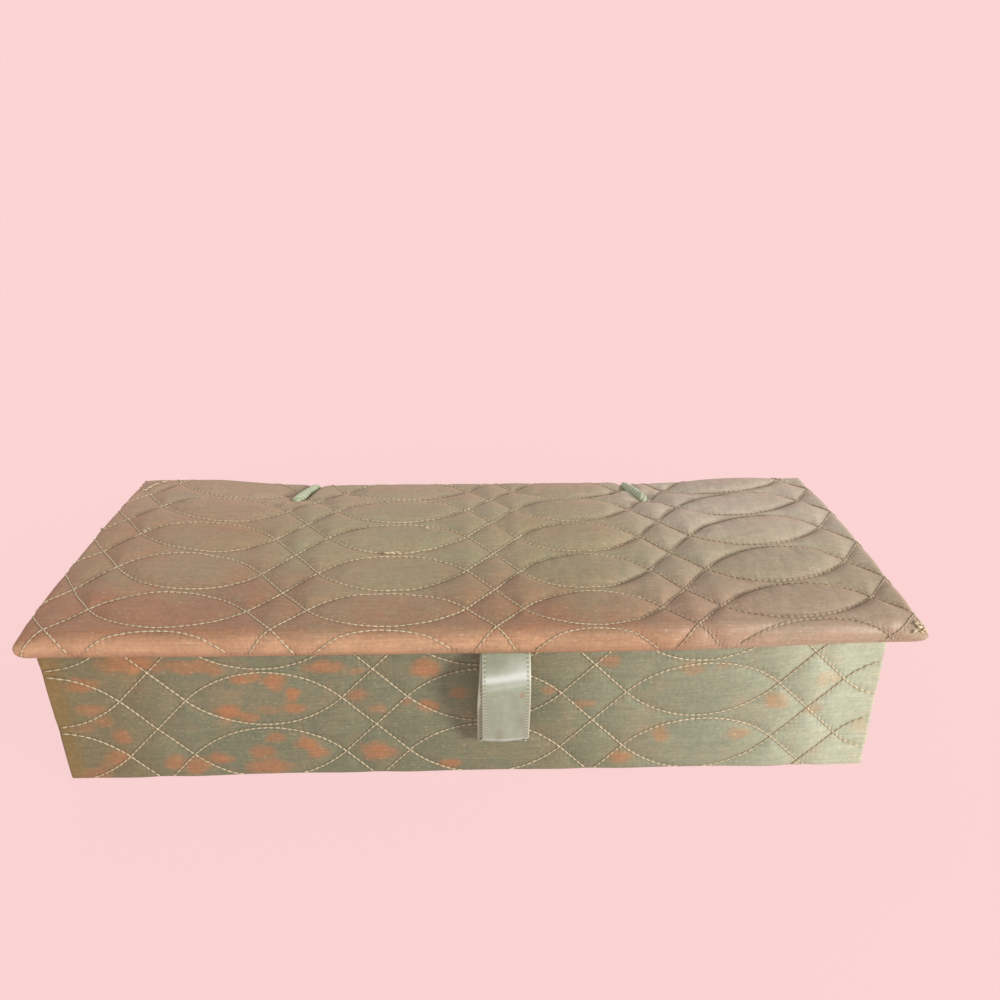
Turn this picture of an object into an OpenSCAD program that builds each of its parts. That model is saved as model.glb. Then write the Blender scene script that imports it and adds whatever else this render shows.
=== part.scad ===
// Long quilted glove box: a board carcass in a quilted cover, a padded lid that
// overhangs it, two cord loops as hinges and a ribbon tab to lift the lid by.
// The origin is the middle of the underside. X runs along the box, Y to its back, Z up.

/* [Box] */
// Length of the box over its quilted cover
box_l = 305; // [260:1:340]
// Depth of the box, front to back, over its quilted cover
box_w = 119; // [100:1:140]
// Height to the top of the padded rim
box_h = 60.5; // [52:0.5:80]
// Radius of the upright corners
corner_r = 3.5; // [3:0.25:5]
// Thickness of the boards
board_t = 2.2; // [1.6:0.1:3]
// Thickness of the wadded cover on the walls
quilt_t = 2.6; // [2:0.1:3.2]
// Depth of a stitched seam in the cover of the walls
quilt_seam = 0.6; // [0.3:0.05:1]
// Thickness of the cover where it turns over the rim
rim_t = 1.6; // [1.2:0.1:2.4]
// How far the cover turns down inside the rim
rim_hem = 8; // [5:0.5:14]
// Thickness of a flat turned-in hem
hem_t = 0.8; // [0.5:0.05:1.2]
// How far the cover turns in under the base
base_hem = 11; // [7:0.5:18]
// Thickness of the paper under the base
paper_t = 0.6; // [0.4:0.05:1]
// How far the paper under the base stays inside the outline
paper_inset = 5; // [4:0.5:7]

/* [Lining] */
// Thickness of a satin-covered lining card on a wall
lining_t = 1.2; // [0.8:0.1:2]
// How far the lining stops below the rim
lining_drop = 3.5; // [2:0.5:6]
// Thickness of the pad on the floor at its edge
pad_t = 2.2; // [1.5:0.1:4]
// Rise of the pad on the floor at its middle
pad_crown = 1.2; // [0.5:0.1:2.5]
// Thickness of the paper stays that join the boards at the corners
stay_t = 0.25; // [0.15:0.05:0.3]
// Width of one leg of a corner stay
stay_leg = 14; // [8:1:25]

/* [Lid] */
// Overhang of the lid past the box at each end
lid_over_x = 7.5; // [6:0.5:10]
// Overhang of the lid past the box at front and back
lid_over_y = 7.5; // [7:0.25:9]
// How far the lid sits to the right of the box
lid_shift = 3; // [0:0.25:4]
// Thickness of the lid at its edge
lid_edge = 9; // [8:0.25:12]
// Rise of the lid from its edge to its middle
lid_crown = 2.6; // [1:0.1:5]
// Radius of the padded edge, seen from above
lid_roll = 4.5; // [3.5:0.25:5.5]
// Thickness of the quilted cover of the lid
lid_quilt_t = 2.6; // [2.2:0.1:3]
// Depth of a stitched seam in the lid
lid_seam = 1.3; // [0.6:0.1:1.6]
// Thickness of the hem under the lid
lid_hem_t = 1.4; // [1.2:0.05:1.8]
// How far the hem reaches in under the lid
lid_hem = 23; // [22:0.5:28]
// How far the tied cords pull the lid's back edge down
lid_dip = 3; // [1:0.1:3.2]
// Room between the lid and the rim
lid_rest = 0.3; // [0.2:0.05:0.5]
// Thickness of the card under the lid
lid_card_t = 1.2; // [0.8:0.1:2]
// Thickness of the satin pad on that card
lid_lining_t = 1.7; // [1:0.1:3]
// Room between the lid's lining and the rim, all round
lid_lining_gap = 1.4; // [1:0.1:2.5]

/* [Quilting] */
// Pitch of the ovals along the lid
lid_pitch = 76.7; // [60:0.1:95]
// Pitch of the rows of ovals across the lid
lid_rows = 27.5; // [24:0.1:34]
// Gap between two ovals of the lid where they come closest
lid_gap = 2.4; // [1.6:0.1:4]
// Slope of the lid's stitched lines where they cross
lid_slope = 1.27; // [1.2:0.01:1.35]
// Place of an oval on the lid, from the middle of the box
lid_oval = [46.1, 0.4];
// Pitch of the ovals along the walls
wall_pitch = 81.6; // [70:0.1:95]
// Pitch of the rows of ovals up the walls
wall_rows = 25.2; // [22:0.1:30]
// Gap between two ovals of the walls where they come closest
wall_gap = 1.6; // [1.5:0.1:3]
// Slope of the walls' stitched lines where they cross
wall_slope = 1.0; // [0.92:0.01:1.06]
// Place of an oval on the front wall, along it and up it
wall_oval = [5.9, 11.2];

/* [Cord hinges] */
// Diameter of the twisted cord
cord_d = 3.4; // [2.4:0.1:4]
// Place of each hole in the lid, to the left and right of the box's middle
cord_x = [-80, 81.5];
// Distance from the lid's back edge to its cord holes
cord_in = 23; // [22:0.25:24]
// Distance from the rim down to the cord holes in the back wall
cord_drop = 10.5; // [10:0.25:16]
// Lean of the cords towards each other, across for each millimetre back
cord_lean = 0.3; // [0:0.01:0.3]
// Radius of the knot inside the box
knot_r = 2.8; // [2.2:0.1:3.2]

/* [Ribbon tab] */
// Width of the ribbon
tab_w = 17.5; // [12:0.5:25]
// Place of the ribbon along the front, at its middle
tab_x = 13.7; // [-60:0.1:60]
// Thickness of one layer of ribbon
ribbon_t = 0.5; // [0.3:0.05:0.6]
// Distance from the rim down to the fold of the tab
tab_drop = 41; // [30:0.5:48]
// How far the back layer shows to the left of the front one
tab_skew = 1.7; // [0:0.1:3]
// Length of the ribbon's tail under the lid
tail_l = 19; // [17:0.5:24]

/* [Fits] */
// Room between a board and the cloth or board next to it
fit = 0.3; // [0.1:0.05:0.4]
// Room between a cord and what it passes through or lies on
cord_fit = 0.3; // [0.2:0.05:0.5]

/* [Hidden] */

cloth = [0.60, 0.55, 0.42];
satin = [0.66, 0.67, 0.58];
card = [0.72, 0.64, 0.50];
past = 1;

// Half sizes of the box and the depths of its layers below the outer face of the cover
box_hx = box_l / 2;
box_hy = box_w / 2;
board_out = quilt_t + fit / 2 + stay_t;
board_in = board_out + board_t;
hem_in = board_in + fit + hem_t;
lining_out = hem_in + fit;
lining_in = lining_out + lining_t;

// Heights of the layers of the base and of the walls
base_z = paper_t + hem_t + fit / 2;
floor_z = base_z + board_t;
board_top = box_h - rim_t - fit;
lining_top = box_h - lining_drop;
pad_z = floor_z + fit / 2;

// Heights and half sizes of the lid's layers
lid_z = box_h + lid_rest;
lid_hx = box_hx + lid_over_x;
lid_hy = box_hy + lid_over_y;
flat_x = lid_hx - lid_roll;
flat_y = lid_hy - lid_roll;
lid_board_z = lid_z + lid_hem_t + fit / 3;
lid_board_top = lid_board_z + board_t;
lid_board_in = 4.2;
wadding_in = 8;
lining_hx = box_hx - hem_in - lid_lining_gap;
lining_hy = box_hy - hem_in - lid_lining_gap;
card_z = lid_z - fit / 2 - lid_card_t;

// Places of the cords
cord_r = cord_d / 2;
cord_y = lid_hy - cord_in;
cord_hole_z = box_h - cord_drop;
cord_bend = 2 * cord_r;
cord_top_gap = cord_r + cord_fit;
hole_r = cord_r + cord_fit;
cord_mid = (cord_x[0] + cord_x[1]) / 2;
cord_half = (cord_x[1] - cord_x[0]) / 2;

// A smooth step from 0 to 1, and a value held between two limits
function ramp(t) = let(c = max(0, min(1, t))) c * c * (3 - 2 * c);
function held(v, low, high) = max(low, min(high, v));

// A quilting pattern is [pitch, rows, gap, slope]. Its stitched lines are two families of
// waves, one the mirror of the other, that cross midway between the ovals. A line is
// straight near the crossing and a round arc over the oval.
function crest(q) = q[1] - q[2] / 2;
function arc_r(q) = let(a = atan(q[3])) (q[0] / 2 * q[3] - crest(q)) / (q[3] * sin(a) - (1 - cos(a)));
function straight_l(q) = q[0] / 2 - arc_r(q) * sin(atan(q[3]));
function wave(t, q) = t < straight_l(q) ? q[3] * t
    : let(w = q[0] / 2 - t) crest(q) - arc_r(q) + sqrt(pow(arc_r(q), 2) - w * w);

// Half the height of the lattice cell at a phase, where whole phases are the crossings
least_cell = 0.35;
function half_cell(phase, q) =
    let(t = abs(phase - round(phase)) * q[0], f = wave(t, q), m = q[1] * round(f / q[1]))
    held(abs(f - m), least_cell, q[1] / 2 - least_cell);

// Phases at which a quilted sheet has a column of points, between two given phases
function wave_columns(from, to, q, arc_steps, skip) =
    let(tip = min(0.2, q[1] / 2 / q[3] / q[0]), rest = (0.5 - tip) / arc_steps,
        lattice = arc_steps > 3 ? [0, tip / 2, tip] : [0, tip],
        half = concat(lattice, [for (k = [1 : arc_steps - 1]) tip + k * rest]), n_half = len(half))
    [for (n = [floor(from) : ceil(to)], side = [0, 1], k = [0 : n_half - 1])
        let(p = side == 0 ? n + half[k] : n + 1 - (k == 0 ? 0.5 : half[n_half - k]))
        if (p > from + skip && p < to - skip) p];

// Rows of one sheet at a phase: [height up the sheet, how far the surface stands above the seam]
function puff(w, q) = 1 - pow(1 - min(1, w / q[1] * 1.25), 2);
function cell_rows(k, phase, q, fine) =
    let(c = half_cell(phase, q), y = k * q[1], o = q[1] / 2 - c, pc = puff(2 * c, q), po = puff(2 * o, q))
    fine ? [[y - c, 0], [y, pc], [y + c, 0],
            [y + c + o / 2, 0.75 * po], [y + q[1] / 2, po], [y + q[1] / 2 + o / 2, 0.75 * po]]
         : [[y - c, 0], [y, pc], [y + c, 0], [y + q[1] / 2, po]];
row_step = 0.14;
edge_fade = 3;
function sheet_rows(phase, origin, low, high, q, fine) =
    let(from = floor((low - origin) / q[1]), to = ceil((high - origin) / q[1]),
        all = [for (k = [from : to], r = cell_rows(k, phase, q, fine)) [r[0] + origin, r[1]]],
        last = len(all) + 1)
    concat([[low, 1]],
        [for (i = [0 : len(all) - 1])
            let(v = held(all[i][0], low + (i + 1) * row_step, high - (last - i - 1) * row_step),
                edge = ramp(min(v - low, high - v) / edge_fade))
            [v, 1 - edge * (1 - all[i][1])]],
        [[high, 1]]);

// Faces of a grid of points held column by column; a loop joins its last column to its first
function grid_faces(columns, rows, loop) =
    [for (i = [0 : columns - (loop ? 1 : 2)], j = [0 : rows - 2], half = [0, 1])
        let(a = i * rows + j, b = ((i + 1) % columns) * rows + j)
        half == 0 ? [a, a + 1, b + 1] : [a, b + 1, b]];

// Top of the lid, before its quilting
dip_from = lid_hy - 40;
dip_fade = 46;
function lid_top(x, y) =
    lid_z + lid_edge
    + lid_crown * (1 - pow(y / lid_hy, 2)) * (1 - pow(x / lid_hx, 8))
    - lid_dip * ramp((y - dip_from) / (flat_y - dip_from))
        * (1 - ramp((abs(x + lid_shift - cord_mid) - cord_half) / dip_fade));

// A point of the lid's cover, from distances along the cloth that run on round the padded
// edge. The edge turns over to turn_end, and the corners are squared off like a folded hem.
turn_end = 150;
roll_l = lid_roll * turn_end * PI / 180;
corner_power = 6;
function lid_point(u, v, lift) =
    let(du = max(0, abs(u) - flat_x), dv = max(0, abs(v) - flat_y), s = max(du, dv),
        turn = s / lid_roll * 180 / PI,
        ax = s > 0 ? sign(u) * du / s : 0, ay = s > 0 ? sign(v) * dv / s : 0,
        n = s > 0 ? pow(pow(abs(ax), corner_power) + pow(abs(ay), corner_power), 1 / corner_power) : 1,
        x = held(u, -flat_x, flat_x), y = held(v, -flat_y, flat_y), half = (lid_top(x, y) - lid_z) / 2,
        out = (lid_roll + lift) * sin(turn) / n, tuck = ramp((turn - 90) / (turn_end - 90)),
        rise = (half + lift * (1 - tuck)) * cos(turn) - half * (1 + cos(turn_end)) * tuck)
    [lid_shift + x + ax * out, y + ay * out, lid_z + half + rise];

// The lid's cover as one solid, filled inside
lid_q = [lid_pitch, lid_rows, lid_gap, lid_slope];
roll_steps = 5;
function lid_phase(u) = (u + lid_shift - lid_oval[0]) / lid_pitch + 0.5;
lid_columns = concat(
    [for (k = [roll_steps : -1 : 0]) -flat_x - roll_l * k / roll_steps],
    [for (p = wave_columns(lid_phase(-flat_x), lid_phase(flat_x), lid_q, 4, 0.02))
        (p - 0.5) * lid_pitch + lid_oval[0] - lid_shift],
    [for (k = [0 : roll_steps]) flat_x + roll_l * k / roll_steps]);
module lid_form() {
    high = flat_y + roll_l;
    sheet = [for (u = lid_columns)
        sheet_rows(lid_phase(u), lid_oval[1] + lid_rows / 2, -high, high, lid_q, true)];
    columns = len(lid_columns);
    rows = len(sheet[0]);
    skin = [for (i = [0 : columns - 1], r = sheet[i])
        let(u = lid_columns[i], fade = ramp((flat_x + roll_l - abs(u)) / edge_fade))
        lid_point(u, r[0], lid_seam * (r[1] - 1) * fade)];
    // The flat underside is strips between front and back, with a fan of triangles at each end
    top = rows - 1;
    first = roll_steps + 1;
    last = columns - 2 - roll_steps;
    under = [for (i = [first : last - 1]) [i * rows, (i + 1) * rows, (i + 1) * rows + top, i * rows + top]];
    right_rim = concat([for (i = [last : columns - 2]) i * rows],
        [for (j = [1 : top]) (columns - 1) * rows + j],
        [for (i = [columns - 2 : -1 : last]) i * rows + top]);
    left_rim = concat([for (i = [first : -1 : 1]) i * rows + top],
        [for (j = [top - 1 : -1 : 0]) j],
        [for (i = [1 : first]) i * rows]);
    // At two corners a face of the grid lies in the underside, where it's left out
    spare = [top, (columns - 1) * rows];
    grid = [for (f = grid_faces(columns, rows, false)) if (min([for (k = f) abs(k - spare[0])]) > 0
        && min([for (k = f) abs(k - spare[1])]) > 0) f];
    function fan(rim, hub) = [for (k = [0 : len(rim) - 1]) [hub, rim[k], rim[(k + 1) % len(rim)]]];
    hub_x = [(lid_columns[last] + flat_x) / 2 + 1, (lid_columns[first] - flat_x) / 2 - 1];
    hubs = [for (x = hub_x) [lid_shift + x, 0, lid_z]];
    polyhedron(concat(skin, hubs), concat(grid, under,
        fan(right_rim, len(skin)), fan(left_rim, len(skin) + 1)));
}

// A rounded block with a crowned top that follows the lid, used for the wadding and its room
module lid_pad(inset, low, drop, grow) {
    nx = 12;
    ny = 8;
    hx = lid_hx - inset + grow;
    hy = lid_hy - inset + grow;
    side = 1.2;
    function place(k, n, half) = half * sin(90 * (2 * k / n - 1));
    points = [for (level = [0, 1], i = [0 : nx], j = [0 : ny])
        let(x = place(i, nx, hx), y = place(j, ny, hy), edge = (i == 0 || i == nx || j == 0 || j == ny))
        [lid_shift + x, y,
         level == 0 ? low : max(low + 0.4 + grow, lid_top(x, y) - drop + grow - (edge ? side : 0))]];
    n = (nx + 1) * (ny + 1);
    function at(level, i, j) = level * n + i * (ny + 1) + j;
    skin = [for (i = [0 : nx - 1], j = [0 : ny - 1], level = [0, 1], half = [0, 1])
        let(a = at(level, i, j), b = at(level, i + 1, j),
            c = at(level, i + 1, j + 1), d = at(level, i, j + 1))
        level == 1 ? (half == 0 ? [a, d, c] : [a, c, b]) : (half == 0 ? [a, c, d] : [a, b, c])];
    front_back = [for (i = [0 : nx - 1], j = [0, ny], half = [0, 1])
        let(a = at(0, i, j), b = at(0, i + 1, j), c = at(1, i + 1, j), d = at(1, i, j))
        j == 0 ? (half == 0 ? [a, d, c] : [a, c, b]) : (half == 0 ? [a, c, d] : [a, b, c])];
    ends = [for (j = [0 : ny - 1], i = [0, nx], half = [0, 1])
        let(a = at(0, i, j), b = at(0, i, j + 1), c = at(1, i, j + 1), d = at(1, i, j))
        i == 0 ? (half == 0 ? [a, c, d] : [a, b, c]) : (half == 0 ? [a, d, c] : [a, c, b])];
    polyhedron(points, concat(skin, front_back, ends));
}

// A block that keeps a given distance inside the lid's outline
module lid_block(inset, low, high) {
    translate([lid_shift - lid_hx + inset, -lid_hy + inset, low])
        cube([2 * (lid_hx - inset), 2 * (lid_hy - inset), high - low]);
}

// Centre line of a cord loop: up through the lid, over its back edge, in through the back
// wall and up inside the box. Each point is [y, z, radius of the cord there].
function cord_line(x0) =
    let(lx = x0 - lid_shift, top = lid_top(lx, cord_y) + cord_top_gap, turn_y = cord_y + cord_bend,
        half = (lid_top(lx, flat_y) - lid_z) / 2, out = lid_roll + cord_top_gap,
        wall = box_hy + cord_bend, inside = box_hy - lining_in)
    concat(
        [[cord_y, cord_hole_z + 2.2 * knot_r, cord_r], [cord_y, lid_z, cord_r],
         [cord_y, top - cord_bend, cord_r]],
        [for (a = [30, 60]) [turn_y - cord_bend * cos(a), top - cord_bend * (1 - sin(a)), cord_r]],
        [for (y = [turn_y : (flat_y - turn_y) / 3 : flat_y - 0.1])
            [y, lid_top(lx, y) + cord_top_gap, cord_r]],
        [for (a = [8 : 24 : 152])
            [flat_y + out * sin(a), lid_z + half + (half + cord_top_gap) * cos(a), cord_r]],
        [[wall + 0.5 * cord_bend, cord_hole_z + 1.6 * cord_bend, cord_r]],
        [for (a = [15, 45, 75])
            [wall - cord_bend * sin(a) + 0.2, cord_hole_z + cord_bend * (1 - cos(90 - a)) * 0.9, cord_r]],
        [[box_hy - 1, cord_hole_z, cord_r], [inside + 0.5, cord_hole_z, cord_r],
         [cord_y + 1, cord_hole_z + 0.3, 1.15 * cord_r], [cord_y - 0.5, cord_hole_z + 0.8 * knot_r, knot_r],
         [cord_y - 0.3, cord_hole_z + 1.5 * knot_r, 1.3 * cord_r]]);
cord_sides = 8;
module cord_loop(x0, lean) {
    line = cord_line(x0);
    n = len(line);
    function spot(k) = let(p = line[(k + n) % n]) [x0 + lean * (p[0] - cord_y), p[0], p[1]];
    across = [1, -lean, 0] / norm([1, -lean, 0]);
    points = [for (k = [0 : n - 1], s = [0 : cord_sides - 1])
        let(d = spot(k + 1) - spot(k - 1), out = cross(d / norm(d), across),
            a = 360 * (s + 0.5) / cord_sides)
        spot(k) + line[k][2] * (cos(a) * across + sin(a) * out)];
    faces = [for (k = [0 : n - 1], s = [0 : cord_sides - 1], half = [0, 1])
        let(a = k * cord_sides + s, b = k * cord_sides + (s + 1) % cord_sides,
            c = ((k + 1) % n) * cord_sides + (s + 1) % cord_sides, d = ((k + 1) % n) * cord_sides + s)
        half == 0 ? [a, b, c] : [a, c, d]];
    polyhedron(points, faces);
}

// Holes for the cords, upright through the lid and level through the back wall
module lid_cord_holes() {
    for (x = cord_x)
        translate([x, cord_y, card_z - lid_lining_t - past])
            cylinder(r = hole_r, h = lid_edge + lid_crown + 3 * past + lid_card_t + lid_lining_t, $fn = 32);
}
module wall_cord_holes() {
    for (k = [0, 1])
        let(lean = k == 0 ? cord_lean : -cord_lean)
        translate([cord_x[k] + lean * (box_hy - cord_y), box_hy, cord_hole_z])
            rotate([0, 0, -atan(lean)]) rotate([90, 0, 0])
            translate([0, 0, -cord_bend]) cylinder(r = hole_r, h = lining_in + 3 * cord_bend, $fn = 32);
}

// A slab between two heights that keeps a distance inside the box's outline
module box_slab(inset, low, high) {
    r = max(0.5, corner_r - inset);
    translate([0, 0, low]) linear_extrude(high - low)
        offset(r = r, $fn = 32) square([box_l - 2 * (inset + r), box_w - 2 * (inset + r)], center = true);
}

module base_cover() {
    color(card) box_slab(paper_inset, 0, paper_t);
}

module base_board() {
    color(card) translate([-box_hx + board_out, -box_hy + board_out, base_z])
        cube([box_l - 2 * board_out, box_w - 2 * board_out, board_t]);
}

// A wall board along the front or back, standing on the base board
module long_board(side) {
    y = side > 0 ? box_hy - board_in : -box_hy + board_out;
    color(card) translate([-box_hx + board_out, y, floor_z])
        cube([box_l - 2 * board_out, board_t, board_top - floor_z]);
}
module front_board() {
    long_board(-1);
}
module back_board() {
    difference() {
        long_board(1);
        wall_cord_holes();
    }
}

// A wall board at one end, between the front and back boards
module end_board(side) {
    x = side > 0 ? box_hx - board_in : -box_hx + board_out;
    color(card) translate([x, -box_hy + board_in, floor_z])
        cube([board_t, box_w - 2 * board_in, board_top - floor_z]);
}
module left_board() {
    end_board(-1);
}
module right_board() {
    end_board(1);
}

// Paper angles glued round the upright corners, under the cover
module corner_stays() {
    low = base_z + 1;
    nip = 0.4 * stay_t;
    for (sx = [-1, 1], sy = [-1, 1])
        color([0.85, 0.80, 0.68])
        scale_sign(sx, sy) translate([box_hx - board_out, box_hy - board_out, low])
            linear_extrude(board_top - 1 - low) polygon([[-stay_leg, 0], [0, 0], [0, -stay_leg],
                [stay_t, -stay_leg], [stay_t, -nip], [-nip, stay_t], [-stay_leg, stay_t]]);
}
module scale_sign(sx, sy) {
    mirror([sx < 0 ? 1 : 0, 0, 0]) mirror([0, sy < 0 ? 1 : 0, 0]) children();
}

// The quilted cover of the walls: one band round the box, from its hem under the base, up
// the walls and over the rim to its hem inside
wall_q = [wall_pitch, wall_rows, wall_gap, wall_slope];
run = [box_l - 2 * corner_r, box_w - 2 * corner_r];
front_phase = [for (s = [-1, 1]) (s * (box_hx - corner_r) - wall_oval[0]) / wall_pitch + 0.5];
front_turns = front_phase[1] - front_phase[0];
rest_turns = round((2 * box_w + box_l) / wall_pitch + front_turns) - front_turns;
rest_rate = rest_turns / (2 * run[1] + run[0] + 4 * corner_r * PI / 2);
corner_phase = corner_r * PI / 2 * rest_rate;
end_phase = run[1] * rest_rate;
back_phase = run[0] * rest_rate;
wall_start = [front_phase[0],
    front_phase[1] + corner_phase,
    front_phase[1] + 2 * corner_phase + end_phase,
    front_phase[1] + 3 * corner_phase + end_phase + back_phase];
wall_end = [front_phase[1], wall_start[1] + end_phase, wall_start[2] + back_phase,
    wall_start[3] + end_phase];
corner_steps = 3;
// Each column is [wall, part along its straight run, angle round the corner after it, phase]
wall_columns = [for (w = [0 : 3])
    each concat(
        [[w, 0, 0, wall_start[w]]],
        [for (p = wave_columns(wall_start[w], wall_end[w], wall_q, 3, 0.02))
            [w, (p - wall_start[w]) / (wall_end[w] - wall_start[w]), 0, p]],
        [for (k = [0 : corner_steps - 1])
            [w, 1, 90 * k / corner_steps, wall_end[w] + corner_phase * k / corner_steps]])];
// Plan position of a column at a depth below the cover's outer face. The cover's inner face
// is nearly square at the corners, as the boards in it are.
function wall_plan(c, depth) =
    let(r = depth < quilt_t ? corner_r - depth : 0.5, hx = box_hx - depth - r, hy = box_hy - depth - r,
        corners = [[-hx, -hy], [hx, -hy], [hx, hy], [-hx, hy]],
        from = corners[c[0]], to = corners[(c[0] + 1) % 4],
        p = from + c[1] * (to - from), a = c[0] * 90 - 90 + c[2])
    p + r * [cos(a), sin(a)];
wall_low = base_z + 1.4;
wall_high = box_h - 3.2;
function wall_profile(phase) =
    let(mid = (hem_in - rim_t) / 2)
    concat(
        [[base_hem, paper_t], [1.4, paper_t]],
        [for (r = sheet_rows(phase, wall_oval[1] + wall_rows / 2, wall_low, wall_high, wall_q, false))
            [quilt_seam * (1 - r[1]), r[0]]],
        [[0.3, box_h - 1.7], [1.3, box_h - 0.5], [mid + 0.8, box_h], [hem_in - 1.3, box_h - 0.5],
         [hem_in, box_h - 2.4], [hem_in, box_h - rim_hem],
         [hem_in - hem_t, box_h - rim_hem], [hem_in - hem_t, box_h - rim_t], [quilt_t, box_h - rim_t],
         [quilt_t, paper_t + hem_t], [base_hem, paper_t + hem_t]]);
module wall_band() {
    profiles = [for (c = wall_columns) wall_profile(c[3])];
    columns = len(wall_columns);
    rows = len(profiles[0]);
    points = [for (i = [0 : columns - 1], r = profiles[i])
        let(p = wall_plan(wall_columns[i], r[0])) [p[0], p[1], r[1]]];
    closing = [for (i = [0 : columns - 1], half = [0, 1])
        let(a = i * rows + rows - 1, b = ((i + 1) % columns) * rows + rows - 1, a0 = i * rows,
            b0 = ((i + 1) % columns) * rows)
        half == 0 ? [a, a0, b0] : [a, b0, b]];
    polyhedron(points, concat(grid_faces(columns, rows, true), closing));
}
module body_quilt() {
    color(cloth) difference() {
        wall_band();
        wall_cord_holes();
    }
}

// A lining card on the front or back wall, from corner to corner
module long_lining(side) {
    y = side > 0 ? box_hy - lining_in : -box_hy + lining_out;
    color(satin) translate([-box_hx + lining_out, y, floor_z])
        cube([box_l - 2 * lining_out, lining_t, lining_top - floor_z]);
}
module front_lining() {
    long_lining(-1);
}
module back_lining() {
    difference() {
        long_lining(1);
        wall_cord_holes();
    }
}

// A lining card at one end, between the long ones
module end_lining(side) {
    x = side > 0 ? box_hx - lining_in : -box_hx + lining_out;
    color(satin) translate([x, -box_hy + lining_in, floor_z])
        cube([lining_t, box_w - 2 * lining_in, lining_top - floor_z]);
}
module left_lining() {
    end_lining(-1);
}
module right_lining() {
    end_lining(1);
}

// A soft slab with rounded edges: rings of [inset, height] inside a rectangle
module soft_slab(hx, hy, rings) {
    turns = [for (q = [0 : 3], k = [0 : 4]) [q, q * 90 + k * 22.5]];
    n = len(turns);
    r0 = 4;
    points = [for (ring = rings, t = turns)
        let(r = max(0.6, r0 - ring[0]), sx = (t[0] == 0 || t[0] == 3) ? 1 : -1, sy = t[0] < 2 ? 1 : -1)
        [sx * (hx - ring[0] - r) + r * cos(t[1]), sy * (hy - ring[0] - r) + r * sin(t[1]), ring[1]]];
    last = len(rings) - 1;
    sides = [for (k = [0 : last - 1], i = [0 : n - 1], half = [0, 1])
        let(a = k * n + i, b = k * n + (i + 1) % n)
        half == 0 ? [a, a + n, b + n] : [a, b + n, b]];
    foot = [for (i = [0 : n - 1]) i];
    head = [for (i = [n - 1 : -1 : 0]) last * n + i];
    polyhedron(points, concat(sides, [foot, head]));
}

// Satin-covered wadding on the floor of the box
module base_pad() {
    t = pad_t;
    c = pad_crown;
    color(satin) soft_slab(box_hx - lining_in - fit, box_hy - lining_in - fit,
        [[0.6, pad_z], [0, pad_z + 0.35 * t], [0, pad_z + 0.7 * t], [0.8, pad_z + t],
         [6, pad_z + t + 0.45 * c], [18, pad_z + t + 0.85 * c], [36, pad_z + t + c]]);
}

module left_cord_loop() {
    color([0.72, 0.82, 0.70]) cord_loop(cord_x[0], cord_lean);
}
module right_cord_loop() {
    color([0.72, 0.82, 0.70]) cord_loop(cord_x[1], -cord_lean);
}

module lid_board() {
    color(card) difference() {
        lid_block(lid_board_in, lid_board_z, lid_board_top);
        lid_cord_holes();
    }
}

// Wadding between the lid's board and its cover
module lid_wadding() {
    color([0.90, 0.88, 0.82]) difference() {
        lid_pad(wadding_in, lid_board_top, lid_quilt_t, 0);
        lid_cord_holes();
    }
}

// The lid's quilted cover, turned under its edges; hollow for the board and the wadding
module lid_quilt() {
    color(cloth) difference() {
        lid_form();
        lid_pad(wadding_in, lid_board_top, lid_quilt_t, fit);
        lid_block(lid_board_in - fit, lid_board_z - fit / 3, lid_board_top + fit);
        lid_block(lid_hem, lid_z - past, lid_board_z);
        translate([tab_x - tab_w / 2 - fit, -lid_hy - past, lid_z - past])
            cube([tab_w + 2 * fit, past + tail_y + tail_l + fit, past + fit + 2 * ribbon_t]);
        lid_cord_holes();
    }
}

module lid_lining_card() {
    color(card) difference() {
        translate([-lining_hx, -lining_hy, card_z]) cube([2 * lining_hx, 2 * lining_hy, lid_card_t]);
        lid_cord_holes();
    }
}

module lid_lining() {
    t = lid_lining_t;
    color(satin) difference() {
        translate([0, 0, card_z]) mirror([0, 0, 1]) soft_slab(lining_hx, lining_hy,
            [[0, 0], [0, 0.6 * t], [0.65, 0.9 * t], [5.5, t], [30, t + 0.5]]);
        lid_cord_holes();
    }
}

// The ribbon's tail, let into the hem under the lid, and the line that it turns about
tail_y = 5;
tail_z = lid_z + fit / 2;
tab_y = -lid_hy + 0.6;
tab_z = lid_z - 0.4;
module ribbon_tail() {
    color(satin) translate([tab_x - tab_w / 2, -lid_hy + tail_y, tail_z])
        cube([tab_w, tail_l, 2 * ribbon_t]);
}

// The folded ribbon that hangs in front of the box. Points are [y, z] from the line it turns
// about, and the lower ones scale with the length of the tab.
tab_l = tab_drop + tab_z - box_h;
tab_line = [[4, 0.2], [1.4, 0.1], [-0.4, -0.6], [-1.6, -2.4], [-2.2, -0.15 * tab_l], [-1.9, -0.3 * tab_l],
            [-0.6, -0.52 * tab_l], [0.9, -0.76 * tab_l], [2.3, -tab_l + ribbon_t]];
tab_end = len(tab_line) - 1;
function tab_way(k) = let(d = tab_line[min(tab_end, k + 1)] - tab_line[max(0, k - 1)]) d / norm(d);
function tab_out(k) = [tab_way(k)[1], -tab_way(k)[0]];
module tab_strip(outline, low, high) {
    translate([tab_x - tab_w / 2 + low, tab_y, tab_z])
        multmatrix([[0, 0, 1, 0], [1, 0, 0, 0], [0, 1, 0, 0], [0, 0, 0, 1]])
        linear_extrude(high - low) polygon(outline);
}
module tab_layer(from, to, shift) {
    tab_strip(concat([for (k = [0 : tab_end]) tab_line[k] + from * tab_out(k)],
        [for (k = [tab_end : -1 : 0]) tab_line[k] + to * tab_out(k)]), shift, shift + tab_w);
}
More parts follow.
